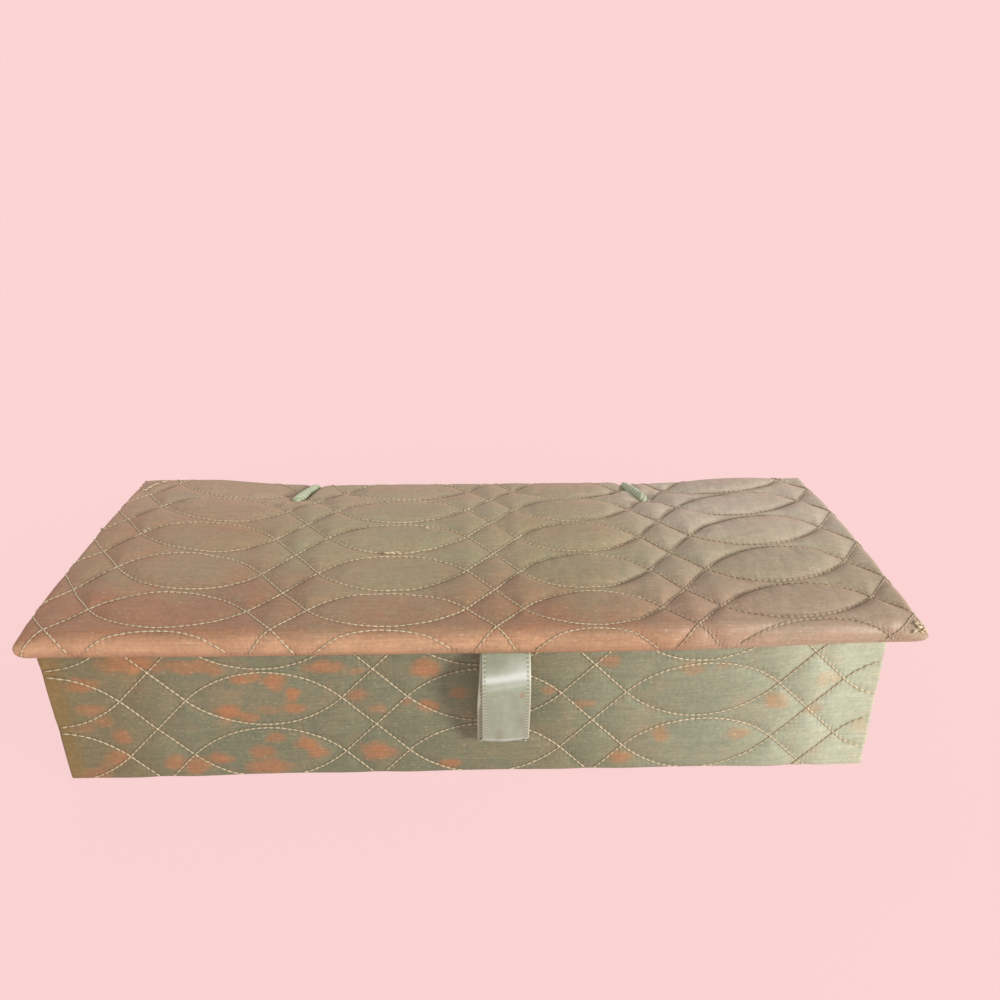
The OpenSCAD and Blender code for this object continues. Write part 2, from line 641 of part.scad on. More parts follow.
module tab_fold(inner, outer) {
    function rim(r, a) = tab_line[tab_end] + r * (cos(a) * tab_out(tab_end) + sin(a) * tab_way(tab_end));
    tab_strip(concat([for (a = [0 : 22.5 : 180]) rim(outer, a)], [for (a = [180 : -45 : 0]) rim(inner, a)]),
        0, tab_w - tab_skew);
}
module pull_tab() {
    gap = 0.15;
    color(satin) union() {
        tab_layer(gap, gap + ribbon_t, 0);
        tab_layer(-gap - ribbon_t, -gap, -tab_skew);
        tab_fold(gap, gap + ribbon_t);
    }
}

base_cover();
base_board();
front_board();
back_board();
left_board();
right_board();
corner_stays();
body_quilt();
front_lining();
back_lining();
left_lining();
right_lining();
base_pad();
left_cord_loop();
right_cord_loop();
lid_board();
lid_wadding();
lid_quilt();
lid_lining_card();
lid_lining();
ribbon_tail();
pull_tab();
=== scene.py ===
"""The looks of a long quilted glove box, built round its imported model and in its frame:
taffeta covers stitched in crossing waves, twisted cord hinges, a folded ribbon tab, satin
linings, and the boards and papers that they are made on. Sizes are millimetres."""

from math import atan, cos, pi, radians, sin, sqrt

import bmesh
import bpy
import numpy as np
from mathutils import Matrix, Vector


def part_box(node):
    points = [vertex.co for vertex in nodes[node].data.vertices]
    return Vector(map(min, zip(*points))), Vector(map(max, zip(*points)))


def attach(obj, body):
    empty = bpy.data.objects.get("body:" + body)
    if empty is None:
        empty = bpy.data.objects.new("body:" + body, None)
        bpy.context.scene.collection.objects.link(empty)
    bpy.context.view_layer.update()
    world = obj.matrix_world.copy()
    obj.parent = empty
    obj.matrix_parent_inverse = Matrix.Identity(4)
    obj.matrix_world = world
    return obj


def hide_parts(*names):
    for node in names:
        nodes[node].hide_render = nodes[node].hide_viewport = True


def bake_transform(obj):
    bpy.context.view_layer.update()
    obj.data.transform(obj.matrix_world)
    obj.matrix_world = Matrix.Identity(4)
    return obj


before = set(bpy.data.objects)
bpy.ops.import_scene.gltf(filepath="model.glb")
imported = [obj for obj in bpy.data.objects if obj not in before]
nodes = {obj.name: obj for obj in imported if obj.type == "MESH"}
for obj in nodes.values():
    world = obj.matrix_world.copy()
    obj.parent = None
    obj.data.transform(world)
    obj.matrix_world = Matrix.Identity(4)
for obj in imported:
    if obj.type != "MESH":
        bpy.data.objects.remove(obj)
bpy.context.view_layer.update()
MM = 0.001

# The box: half length, half depth, height, radius of its upright corners, and the depths of
# its layers below the outer face
BOX_X, BOX_Y, BOX_H = 152.5, 59.5, 60.5
CORNER = 1.6
COVER_T, HEM_T, HEM_IN = 2.6, 0.8, 6.3
HEM_TUCK = 11.0
RIM_ROLL = 3.0
PAPER_T = 0.6
FOOT, FOOT_Z = 1.0, 0.15
LINING_OUT, LINING_IN = 6.6, 7.8
FLOOR_Z, LINING_TOP = 3.75, 57.0

# The lid: half sizes, the padded edge that the cover turns over, its crown and its dip
LID_SHIFT = 3.0
LID_X, LID_Y, LID_Z = 160.0, 67.0, 60.8
LID_EDGE, LID_CROWN, LID_DIP = 9.0, 2.6, 3.0
ROLL, ROLL_TURN = 4.5, radians(150)
ROLL_L = ROLL * ROLL_TURN
FLAT_X, FLAT_Y = LID_X - ROLL, LID_Y - ROLL
HEM_REACH, HEM_RISE = 23.0, 1.4
# How wear has shaped it: the edge's sag, the flattened front tips, the lifted ends, and how
# much thinner its back is to the right and thicker to the left
ROLL_SAG, TIP_DROP, END_LIFT = 2.1, 2.8, 1.5
THIN_BACK, THICK_BACK = 1.1, 0.5

# The cords: places of their holes, and of the holes in the back wall
CORD_R = 1.7
CORDS = {"left_cord": (-80.0, 0.30), "right_cord": (81.5, -0.30)}
CORD_Y, WALL_HOLE_Z = 44.0, 50.0

# The ribbon tab
TAB_X, TAB_Y, TAB_Z, TAB_W, TAB_L = 13.7, -66.4, 60.4, 17.5, 40.9

# A machine stitch, the thickness of its thread, and the widest seam mark
STITCH, THREAD = 2.3, 0.33
SEAM_FAR = 8


def ramp(t):
    """A smooth step from 0 to 1."""
    c = np.clip(t, 0.0, 1.0)
    return c * c * (3.0 - 2.0 * c)


def bump(distance, width):
    """A soft hill of height 1 that fades out over a width."""
    return np.exp(-(distance / width) ** 2)


def ripples(a, b, size, seed):
    """Soft uneven waves over two coordinates, about one size across and mostly within 1."""
    draw, count = np.random.default_rng(seed), 8
    total = np.zeros(np.broadcast(a, b).shape)
    for _ in range(count):
        turn, start, scale = draw.uniform(0, pi), draw.uniform(0, 2 * pi), draw.uniform(0.7, 1.5)
        total = total + np.sin((a * cos(turn) + b * sin(turn)) * 2 * pi / (size * scale) + start)
    return total / sqrt(count / 2) / 1.6


def unit(vectors):
    """The same directions, each of length 1."""
    return vectors / np.maximum(np.linalg.norm(vectors, axis=-1, keepdims=True), 1e-9)


def chance(*labels):
    """A number from 0 to 1 that is always the same for the same whole-number labels."""
    mixed = sum(np.asarray(n, float) * k for n, k in zip(labels, (12.9898, 78.233, 37.719)))
    return np.modf(np.abs(np.sin(mixed) * 43758.5453))[0]


# ---- The camera

# As fitted to the outline of the box in the photograph
CAMERA_LENS, CAMERA_FILM = 31.302, 36.0
CAMERA_PLACE = Vector((4.47, -320.8, 240.15))
CAMERA_TURN, CAMERA_TILT, CAMERA_ROLL = -0.0270805, -0.441654, -0.0025921


def make_camera():
    """A camera that looks down on the box from a little right of its middle."""
    camera = bpy.data.objects.new("camera", bpy.data.cameras.new("camera"))
    camera.data.sensor_width, camera.data.lens = CAMERA_FILM, CAMERA_LENS
    camera.data.clip_start, camera.data.clip_end = 0.02, 20.0
    turn = (Matrix.Rotation(CAMERA_TURN, 3, "Z") @ Matrix.Rotation(CAMERA_TILT, 3, "X")
            @ Matrix.Rotation(CAMERA_ROLL, 3, "Y"))
    right, ahead, up = turn.col
    camera.matrix_world = Matrix.Translation(CAMERA_PLACE * MM) @ Matrix(
        (right, up, -ahead)).transposed().to_4x4()
    bpy.context.scene.collection.objects.link(camera)
    bpy.context.scene.camera = camera


make_camera()


# ---- The shape of the lid

DIP_FROM, DIP_FADE = LID_Y - 40.0, 46.0
CORD_MID = (CORDS["left_cord"][0] + CORDS["right_cord"][0]) / 2
CORD_HALF = (CORDS["right_cord"][0] - CORDS["left_cord"][0]) / 2


def lid_top(x, y):
    """Height of the lid's top, from its own middle, before the quilting."""
    beyond = (np.abs(x + LID_SHIFT - CORD_MID) - CORD_HALF) / DIP_FADE
    return (LID_Z + LID_EDGE + LID_CROWN * (1 - (y / LID_Y) ** 2) * (1 - (x / LID_X) ** 8)
            - LID_DIP * ramp((y - DIP_FROM) / (FLAT_Y - DIP_FROM)) * (1 - ramp(beyond)))


def lid_warp(x, y):
    """How far the worn lid's ends have lifted, most at their middles, and its back has sunk."""
    out_x, front = ramp((np.abs(x) - 85) / 60), ramp((-y - 15) / 50)
    back = ramp((y - 25) / 42)
    low_back = THIN_BACK * ramp((x - 60) / 40) - THICK_BACK * ramp((-x - 60) / 40)
    return (END_LIFT * out_x * (1 - 0.7 * front) * (1 - 0.9 * back)
            - low_back * ramp((y - 20) / 42))


def lid_point(u, v, lift):
    """Places on the lid's cover, from distances along the cloth, in x, y and z."""
    du, dv = (np.clip(np.abs(w) - flat, 0, ROLL_L) for w, flat in ((u, FLAT_X), (v, FLAT_Y)))
    s = np.maximum(du, dv)
    turn, safe = s / ROLL, np.where(s > 0, s, 1.0)
    ax, ay = np.sign(u) * du / safe, np.sign(v) * dv / safe
    n = np.where(s > 0, (np.abs(ax) ** 6 + np.abs(ay) ** 6) ** (1 / 6), 1.0)
    n = np.where(n > 0, n, 1.0)
    x, y = np.clip(u, -FLAT_X, FLAT_X), np.clip(v, -FLAT_Y, FLAT_Y)
    half = (lid_top(x, y) - LID_Z) / 2
    out = (ROLL + lift) * np.sin(turn) / n
    tuck = ramp((turn - pi / 2) / (ROLL_TURN - pi / 2))
    rise = (half + lift * (1 - tuck)) * np.cos(turn) - half * (1 + cos(ROLL_TURN)) * tuck
    x, y, z = x + ax * out, y + ay * out, LID_Z + half + rise
    # The padded edge sags below the hem at the front and the ends, clear of the walls
    hem_u, hem_v = np.abs(u) - FLAT_X - ROLL_L, np.abs(v) - FLAT_Y - ROLL_L
    hem_in = np.maximum(np.maximum(hem_u, hem_v), 0)
    sag = ramp((turn - 0.9) / 1.2) * (1 - ramp((hem_in - 0.2) / 3.2)) * (1 - ramp((v - 30) / 25))
    z = z - ROLL_SAG * sag * (1 - ramp((x - 50) / 105))
    # The front corners are flattened to a point
    tip = ramp((np.abs(u) - FLAT_X + 8) / 12) * ramp((-v - FLAT_Y + 8) / 12)
    z = z - TIP_DROP * tip * ramp((np.cos(turn) + 0.35) / 1.1) * (hem_in == 0)
    # Past the roll the hem runs in under the lid, and is mitred at the corners
    corner_out = ROLL * sin(ROLL_TURN) / 2 ** (1 / 6)
    in_x, in_y = np.maximum(hem_u, 0), np.maximum(hem_v, 0)
    x = (x - np.sign(u) * in_x) * (1 - in_y / (FLAT_X + corner_out))
    y = (y - np.sign(v) * in_y) * (1 - in_x / (FLAT_Y + corner_out))
    # Lifted ends take the hem along a little; the worn back is thinner, and its hem stays
    warp = lid_warp(x, y)
    z = z + warp * np.where(warp > 0, 1 - 0.85 * ramp(hem_in / 5), ramp((np.cos(turn) + 0.5) / 1.2))
    return np.stack((x + LID_SHIFT, y, z), axis=-1)


# ---- Quilting: two families of waves that cross midway between the ovals

# How near a crossing the puffs are rounded, and how wide a seam draws the cloth down
CROSSING, SEAM_FADE = 7.0, 2.1


class Quilting:
    """A stitched pattern: pitch of the ovals, rows, gap between two ovals, slope at a crossing."""

    def __init__(self, pitch, rows, gap, slope):
        self.pitch, self.rows, self.slope = pitch, rows, slope
        self.crest = rows - gap / 2
        angle = atan(slope)
        self.arc = ((pitch / 2 * slope - self.crest)
                    / (slope * sin(angle) - (1 - cos(angle))))
        self.straight = pitch / 2 - self.arc * sin(angle)
        steps = np.linspace(0, pitch / 2, 400)
        lengths = np.hypot(np.diff(steps), np.diff(self.wave(steps)))
        self._steps, self._runs = steps, np.concatenate(([0], np.cumsum(lengths)))

    def wave(self, t):
        """Height of a stitched line at a distance from its crossing."""
        w = self.pitch / 2 - t
        over = self.crest - self.arc + np.sqrt(np.maximum(self.arc ** 2 - w * w, 0))
        return np.where(t < self.straight, self.slope * t, over)

    def lean(self, t):
        """Slope of a stitched line at a distance from its crossing."""
        w = self.pitch / 2 - t
        return np.where(t < self.straight, self.slope,
                        w / np.sqrt(np.maximum(self.arc ** 2 - w * w, 1e-6)))

    def run(self, t):
        """Length of stitching from the crossing."""
        return np.interp(t, self._steps, self._runs)

    def at(self, phase, across):
        """Distances to the nearest stitched line and to the two beyond it, the place within the
        cell's half width, that width, the length along the line, and a number for each cell."""
        t = np.abs(phase - np.round(phase)) * self.pitch
        f = self.wave(t)
        level = np.round(f / self.rows)
        lattice = np.abs(f - self.rows * level)
        row = np.round(across / self.rows)
        e = np.abs(across - self.rows * row)
        inside = e < lattice
        half = np.maximum(np.where(inside, lattice, self.rows / 2 - lattice), 0.05)
        flat = 1 / np.hypot(1, self.lean(t))
        gaps = [np.abs(e - lattice) * flat, (e + lattice) * flat,
                np.where(inside, 99.0, (self.rows - lattice - e) * flat)]
        # The share is rounded off where the lines cross, so that no cell has a ridge
        soft_t = np.where(t < CROSSING, t * t / (2 * CROSSING) + CROSSING / 2, t)
        soft = np.abs(self.wave(soft_t) - self.rows * level)
        share = np.where(inside, soft - e, e - soft) / np.maximum(
            np.where(inside, soft, self.rows / 2 - soft), 0.05)
        high = level > 0
        side = np.where(inside | high, np.floor(phase), np.round(phase))
        cell = chance(side, np.where(inside, row, np.floor(across / self.rows)),
                      np.where(inside, 0, 1 + high))
        return gaps, np.clip(share, 0, 1), half * flat, self.run(t), cell

    def lines(self, low, high, from_row, to_row):
        """Points of every stitched line, a stitch apart: phase and across."""
        turn_l = 2 * self._runs[-1]
        for row in range(from_row, to_row + 1):
            for side in (-1, 1):
                steps = np.arange(low * turn_l, high * turn_l, STITCH)
                turn, rest = np.divmod(steps, turn_l)
                back = rest > turn_l / 2
                t = np.interp(np.where(back, turn_l - rest, rest), self._runs, self._steps)
                phase = turn + np.where(back, 1 - t / self.pitch, t / self.pitch)
                sign = np.where(turn % 2 == 0, side, -side)
                yield phase, row * self.rows + sign * self.wave(t)


def puffed(q, phase, across, height):
    """Height of the cloth above its seams, which is full over a broad cell."""
    gaps, share, half, _, cell = q.at(phase, across)
    near = np.prod([1 - np.exp(-(gap / SEAM_FADE) ** 1.4) for gap in gaps], axis=0)
    broad = (1 - (1 - share) ** 2) * (1 - np.exp(-(gaps[0] / 1.5) ** 2))
    full = np.clip(half / 7.5, 0, 1) ** 0.7
    return height * full * (0.55 * near + 0.45 * broad) * (0.85 + 0.3 * cell)


LID_Q = Quilting(pitch=76.7, rows=27.5, gap=2.4, slope=1.27)
WALL_Q = Quilting(pitch=81.6, rows=25.2, gap=1.6, slope=1.04)
# The middle of one oval of each: along the front, and to the back or up
LID_OVAL, WALL_OVAL = (46.1, 0.4), (5.9, 11.2)


def lid_drift(x, y):
    """How far the stitched pattern has been drawn along and across the lid in the making."""
    along = 2.6 * bump(x - 3, 30) - 2.5 * bump(x - 80, 28) - 2.0 * ramp((-x - 90) / 45)
    front = -40 - y
    across = (0.095 * (front + np.sqrt(front ** 2 + 16))
              + 6.0 * ramp((-x - 75) / 72) * (0.3 + 0.7 * ramp((y + 60) / 45))
              + 8.0 * ramp((x - 78) / 82) * (0.75 + 0.25 * ramp((y + 20) / 60)))
    return along, across


def lid_pattern(u, v):
    """Phase along the lid's pattern and distance across it."""
    along, across = lid_drift(u + LID_SHIFT, v)
    return ((u + LID_SHIFT - along - LID_OVAL[0]) / LID_Q.pitch + 0.5,
            v - across - LID_OVAL[1] - LID_Q.rows / 2)


def lid_place(phase, across):
    """The place on the lid's cloth that holds a point of the pattern."""
    x = x0 = (phase - 0.5) * LID_Q.pitch + LID_OVAL[0]
    y = y0 = across + LID_OVAL[1] + LID_Q.rows / 2
    for _ in range(12):
        along, up = lid_drift(x, y)
        x, y = x0 + along, y0 + up
    return x - LID_SHIFT, y


def wall_rise(x):
    """How far the front's pattern climbs towards its right end."""
    return 0.006 * x + 4.2 * ramp((x - 72) / 75)


# ---- Cloth as a grid that keeps the pattern of its surface

# Vertices this near to each other, in metres, are one
JOINED = 2e-6


def link(name, mesh):
    """A new object in the scene from a mesh."""
    made = bpy.data.objects.new(name, mesh)
    bpy.context.scene.collection.objects.link(made)
    return made


def put_in_order(bm):
    """Orders vertices, edges and faces by their places, which some operators leave to chance."""
    way = Vector((1.0, 0.7310585, 0.5313113))
    bm.verts.sort(key=lambda vert: vert.co.dot(way))
    bm.edges.sort(key=lambda edge: (edge.verts[0].co + edge.verts[1].co).dot(way))
    bm.faces.sort(key=lambda face: face.calc_center_median().dot(way))


def finish_mesh(bm, name, smooth=True):
    """A piece from a bmesh, with its faces turned outwards."""
    bmesh.ops.recalc_face_normals(bm, faces=bm.faces)
    mesh = bpy.data.meshes.new(name)
    bm.to_mesh(mesh)
    bm.free()
    for face in mesh.polygons if smooth else ():
        face.use_smooth = True
    return link(name, mesh)


def sew(mesh, name):
    """A piece from a mesh whose meeting edges are joined."""
    bm = bmesh.new()
    bm.from_mesh(mesh)
    bmesh.ops.remove_doubles(bm, verts=bm.verts, dist=JOINED)
    return finish_mesh(bm, name)


def apply_modifiers(piece):
    """Bakes a piece's modifiers into its mesh."""
    shaped = piece.evaluated_get(bpy.context.evaluated_depsgraph_get())
    piece.data = bpy.data.meshes.new_from_object(shaped)
    piece.modifiers.clear()


def grid_mesh(name, points, uv, marks):
    """A mesh grid laid on points[i, j], with its cloth coordinates and its named marks."""
    columns, rows = points.shape[:2]
    bm = bmesh.new()
    bm.loops.layers.uv.new("cloth")
    bmesh.ops.create_grid(bm, x_segments=columns - 1, y_segments=rows - 1, size=1)
    mesh = bpy.data.meshes.new(name)
    bm.to_mesh(mesh)
    bm.free()
    count = len(mesh.vertices)
    flat = np.empty(count * 3)
    mesh.vertices.foreach_get("co", flat)
    flat = flat.reshape(-1, 3)
    i = np.rint((flat[:, 0] + 1) / 2 * (columns - 1)).astype(int)
    j = np.rint((flat[:, 1] + 1) / 2 * (rows - 1)).astype(int)
    mesh.vertices.foreach_set("co", (points[i, j] * MM).ravel())
    for key, values in marks.items():
        layer = mesh.attributes.new(key, "FLOAT", "POINT")
        layer.data.foreach_set("value", values[i, j].astype(np.float32))
    corners = np.empty(len(mesh.loops), int)
    mesh.loops.foreach_get("vertex_index", corners)
    cloth = uv[i, j][corners] * MM
    mesh.uv_layers["cloth"].data.foreach_set("uv", cloth.astype(np.float32).ravel())
    return mesh


def spread(values, i, j):
    """Values of a grid at fractions of its columns and rows."""
    i0 = np.clip(np.floor(i).astype(int), 0, values.shape[0] - 2)
    j0 = np.clip(np.floor(j).astype(int), 0, values.shape[1] - 2)
    a, b = (i - i0)[..., None], (j - j0)[..., None]
    return ((1 - a) * (1 - b) * values[i0, j0] + a * (1 - b) * values[i0 + 1, j0]
            + (1 - a) * b * values[i0, j0 + 1] + a * b * values[i0 + 1, j0 + 1])


def steps_over(stops):
    """Places from one stop to the next, each stretch with its own spacing: (end, spacing)."""
    places = [stops[0][0]]
    for end, spacing in stops[1:]:
        count = max(1, round(abs(end - places[-1]) / spacing))
        places += list(np.linspace(places[-1], end, count + 1)[1:])
    return np.array(places)


# ---- Padding that swells between its stitches

# The cloth is simulated larger than life, held near its seams, with some slack; the height
# that counts as full, and the simulated share of the lid's relief
GROWN, PRESSURE, STEPS = 10.0, 4.0, 16
HELD_WITHIN, SLACK, FULL_SWELL = 0.8, 0.012, 1.35
SWELL_SHARE = 0.28


def swell(xs, ys, held):
    """Heights of a sheet of cloth, held down at some places, that its padding blows up."""
    points = np.zeros((len(xs), len(ys), 3))
    points[..., 0], points[..., 1] = xs[:, None], ys[None, :]
    start = np.random.default_rng(5).uniform(0, 0.02, held.shape)
    points[..., 2] = start * ~held
    mesh = grid_mesh("swelling", points * GROWN, points[..., :2], {"held": held})
    sheet = link("swelling", mesh)
    marked = np.empty(len(mesh.vertices), np.float32)
    mesh.attributes["held"].data.foreach_get("value", marked)
    pins = sheet.vertex_groups.new(name="held")
    pins.add([int(k) for k in np.nonzero(marked > 0.5)[0]], 1.0, "REPLACE")
    cloth = sheet.modifiers.new("cloth", "CLOTH")
    fabric = cloth.settings
    fabric.vertex_group_mass = "held"
    fabric.use_pressure, fabric.uniform_pressure_force = True, PRESSURE
    fabric.shrink_min, fabric.quality, fabric.mass = -SLACK, 4, 0.15
    fabric.tension_stiffness = fabric.compression_stiffness = 20
    fabric.shear_stiffness, fabric.bending_stiffness, fabric.air_damping = 8, 3, 3
    fabric.effector_weights.gravity = 0
    cloth.collision_settings.use_collision = False
    cloth.point_cache.frame_start, cloth.point_cache.frame_end = 1, STEPS
    for step in range(1, STEPS + 1):
        bpy.context.scene.frame_set(step)
    apply_modifiers(sheet)
    spots = np.empty(len(marked) * 3)
    sheet.data.vertices.foreach_get("co", spots)
    made = sheet.data
    bpy.data.objects.remove(sheet)
    bpy.data.meshes.remove(made)
    bpy.context.scene.frame_set(1)
    # Grid meshes keep their columns within their rows
    heights = spots.reshape(-1, 3)[:, 2] / GROWN / MM
    return heights.reshape(len(ys), len(xs)).T


def swell_lid():
    """The swelling of the lid's quilting, as a share of its usual height."""
    us, vs = np.linspace(-FLAT_X, FLAT_X, 208), np.linspace(-FLAT_Y - 9, FLAT_Y, 90)
    u, v = np.meshgrid(us, vs, indexing="ij")
    held = LID_Q.at(*lid_pattern(u, v))[0][0] < HELD_WITHIN
    held[[0, -1]] = True
    held[:, [0, -1]] = True
    return us, vs, np.clip(swell(us, vs, held) / FULL_SWELL, 0, 1.5)


SWELL_LID = swell_lid()


def swelling(u, v):
    """The simulated swelling at places on the lid's cloth."""
    if SWELL_LID is None:
        return 0.0
    us, vs, heights = SWELL_LID
    i, j = np.interp(u, us, np.arange(len(us))), np.interp(v, vs, np.arange(len(vs)))
    return spread(heights[..., None], i, j)[..., 0]


# ---- The lid's cover

# Height of the quilting and depth of its seams, and how much more of each to the right
PLUMP, PLUMP_MORE, SEAM_DEEP, SEAM_MORE = 1.75, 0.75, 1.2, 0.2
# What the cords press in: their holes, the dimples round them, radial folds, and grooves
HOLE_DEEP, DIMPLE_DEEP, FOLDS_HIGH, GROOVE_DEEP = 1.7, 0.6, 0.55, 2.0
LID_FINE, LID_COARSE = 0.68, 2.5
TAIL_ROOM = 0.95


def lid_lift(u, v):
    """Height of the lid's cloth above its plain form: quilting, dimples and soft unevenness."""
    phase, across = lid_pattern(u, v)
    x, y = u + LID_SHIFT, v
    # The cloth is pulled tight over the ends and the back, and less so at the front
    tight = np.minimum(ramp((FLAT_X + 5 - np.abs(u)) / 13), ramp((FLAT_Y + 4 - v) / 10))
    front = ramp((-v - FLAT_Y + 9) / 9)
    right = ramp((x + 10) / 90)
    plump = (PLUMP + PLUMP_MORE * right) * (0.2 + 0.8 * tight) * (1 - 0.5 * front)
    lift = (puffed(LID_Q, phase, across, plump) * (1 - SWELL_SHARE)
            + swelling(u, v) * plump * SWELL_SHARE)
    lift = lift - 0.3 - (SEAM_DEEP + SEAM_MORE * right) * tight * (1 - 0.5 * front)
    lift = lift + (0.28 * ripples(x, y, 46, 3) + 0.12 * ripples(x, y, 15, 4)) * (0.3 + 0.7 * tight)
    corner = ramp((np.abs(u) - FLAT_X + 9) / 12) * ramp((np.abs(v) - FLAT_Y + 9) / 12)
    lift = lift + 0.9 * corner * (v < 0)
    for hole_x, lean in CORDS.values():
        line_x = hole_x + lean * (y - CORD_Y)
        away = np.hypot(x - hole_x, y - CORD_Y)
        angle = np.arctan2(y - CORD_Y, x - hole_x)
        pull = 1.0 if hole_x > 0 else 0.6
        lift = lift - HOLE_DEEP * bump(away, 6.0) - DIMPLE_DEEP * bump(away, 17)
        lift = lift + FOLDS_HIGH * pull * np.cos(7 * angle + 1) * bump(away - 10, 6)
        lift = lift - GROOVE_DEEP * bump(x - line_x, 3.2) * ramp((y - CORD_Y + 2) / 4)
    under = ramp((np.maximum(np.abs(u) - FLAT_X, np.abs(v) - FLAT_Y) - 8) / 4)
    return lift * (1 - under) - 0.4 * under


def make_lid_cloth():
    """The lid's cover in one cloth: top, padded edges and the hem under them."""
    reach_u, reach_v = FLAT_X + ROLL_L, FLAT_Y + ROLL_L
    us, vs = (steps_over([(-reach - HEM_REACH, 0), (-reach, LID_COARSE), (reach, LID_FINE),
                          (reach + HEM_REACH, LID_COARSE)]) for reach in (reach_u, reach_v))
    u, v = np.meshgrid(us, vs, indexing="ij")
    points = lid_point(u, v, lid_lift(u, v))
    # The hem makes room for the ribbon's tail
    tail = ramp((TAB_W / 2 + 1.5 - np.abs(points[..., 0] - TAB_X)) / 1.5)
    under = ramp((np.abs(v) - reach_v - 1.0) / 3) * (v < 0)
    points[..., 2] += TAIL_ROOM * tail * under
    return us, vs, points


LID_US, LID_VS, LID_CLOTH = make_lid_cloth()


def on_lid(u, v):
    """Places on the finished cover of the lid, and the outward direction there."""
    def place(a, b):
        i = np.interp(a, LID_US, np.arange(len(LID_US)))
        j = np.interp(b, LID_VS, np.arange(len(LID_VS)))
        return spread(LID_CLOTH, i, j)
    along, across = place(u + 0.5, v) - place(u - 0.5, v), place(u, v + 0.5) - place(u, v - 0.5)
    out = np.cross(along, across)
    return place(u, v), out / np.linalg.norm(out, axis=-1, keepdims=True)


def lid_rust(u, v):
    """How coppery the lid's cloth is: most at its front edge and left end."""
    x, y = u + LID_SHIFT, v
    warp = 9 * ripples(x, y, 60, 11) + 4 * ripples(x, y, 17, 12)
    front = ramp((-y + 0.6 * warp - 14) / 50)
    left = 0.5 * ramp((-x - 48 + 0.8 * warp) / 90)
    mid_back = 0.12 * ramp((y + warp) / 40)
    return np.clip(0.14 + 0.68 * front + left * (1 - 0.4 * front) + mid_back, 0, 1)


def lid_pale(u, v):
    """How far the lid's right half has faded to a pinkish grey."""
    x, y = u + LID_SHIFT, v
    warp = 12 * ripples(x, y, 70, 13)
    back = 0.28 * ramp((y - 2) / 45)
    return np.clip(ramp((x - 30 + warp) / 90) * (0.5 + 0.5 * ramp((y + 40) / 70)) + back, 0, 1)


def lid_painted_highlight(u, v):
    """A painted copper highlight along the padded front edge, most to the left."""
    x = u + LID_SHIFT
    edge = bump(v + FLAT_Y + 7.3, 2.9)
    return np.clip(edge * (0.95 - 0.9 * ramp((x + 40) / 170) + 0.15 * ripples(x, v, 20, 14)), 0, 1)


def lid_painted_light_and_shade(u, v):
    """Painted light and shade on the lid's cloth: lighter behind, darker in front."""
    x, y = u + LID_SHIFT, v
    back = 0.05 * ramp((y - 8) / 45) * ramp((np.abs(x) - 30) / 60) + 0.035 * ramp((-x - 85) / 50)
    front = 0.05 + 0.025 * ramp((x - 20) / 80) + 0.02 * bump(x - 20, 45)
    return back - front * ramp((-y - 2) / 30)


def make_lid_cover():
    """The mesh of the lid's cover, closed under the board by its hem."""
    u, v = np.meshgrid(LID_US, LID_VS, indexing="ij")
    phase, across = lid_pattern(u, v)
    gaps, _, _, run, _ = LID_Q.at(phase, across)
    marks = {"seam": np.minimum(gaps[0], SEAM_FAR), "run": run / STITCH,
             "rust": lid_rust(u, v), "pale": lid_pale(u, v), "brown_and_highlight": lid_painted_highlight(u, v),
             "painted_light_and_shade": lid_painted_light_and_shade(u, v)}
    mesh = grid_mesh("lid_cover", LID_CLOTH, np.stack((u, v), axis=-1), marks)
    bm = bmesh.new()
    bm.from_mesh(mesh)
    cloth = bm.loops.layers.uv["cloth"]
    past_x, past_y = (FLAT_X + ROLL_L + 0.01) * MM, (FLAT_Y + ROLL_L + 0.01) * MM
    corners = []
    for face in bm.faces:
        middle = sum((loop[cloth].uv for loop in face.loops), Vector((0, 0))) / 4
        if abs(middle.x) > past_x and abs(middle.y) > past_y:
            corners.append(face)
    bmesh.ops.delete(bm, geom=corners, context="FACES")
    bmesh.ops.remove_doubles(bm, verts=bm.verts, dist=JOINED)
    rim = [edge for edge in bm.edges if edge.is_boundary]
    raised = bmesh.ops.extrude_edge_only(bm, edges=rim)["geom"]
    lifted = [part for part in raised if isinstance(part, bmesh.types.BMVert)]
    for vert in lifted:
        vert.co.z = (LID_Z + HEM_RISE + 0.05) * MM
    inner = [part for part in raised if isinstance(part, bmesh.types.BMEdge)]
    bmesh.ops.holes_fill(bm, edges=inner, sides=0)
    put_in_order(bm)
    return finish_mesh(bm, "lid_cover")


lid_cover = make_lid_cover()


# ---- The cover of the walls

# Straight lengths of the walls, the pattern's phase at the front's two ends, and the whole
# number of turns that closes the band round the other three walls
RUN_X, RUN_Y, BEND = 2 * (BOX_X - CORNER), 2 * (BOX_Y - CORNER), CORNER * pi / 2
FRONT = [(s * (BOX_X - CORNER) - WALL_OVAL[0]) / WALL_Q.pitch + 0.5 for s in (-1, 1)]
REST_TURNS = (round((4 * BOX_Y + 2 * BOX_X) / WALL_Q.pitch + FRONT[1] - FRONT[0])
              - (FRONT[1] - FRONT[0]))
REST_RATE = REST_TURNS / (2 * RUN_Y + RUN_X + 2 * pi * CORNER)
BEND_STEPS, WALL_FINE = 7, 0.75
# Rows of the cloth's section from its hem under the base to the top of the rim
RIM_ROWS = 90
# How high the quilting stands and lies, and how far the cloth stands off: at the left and the
# right end, at the foot and how that changes to the rim, and at the front's foot
WALL_PLUMP, WALL_PLUMP_MORE, WALL_SEAM, PRESSED_BACK = 0.85, 0.5, 0.5, 0.25
LEFT_OFF, LEFT_MORE, RIGHT_OFF, RIGHT_LESS = 0.7, 2.3, 2.0, 0.3
FOOT_OFF, FOOT_MORE = 0.45, 1.1


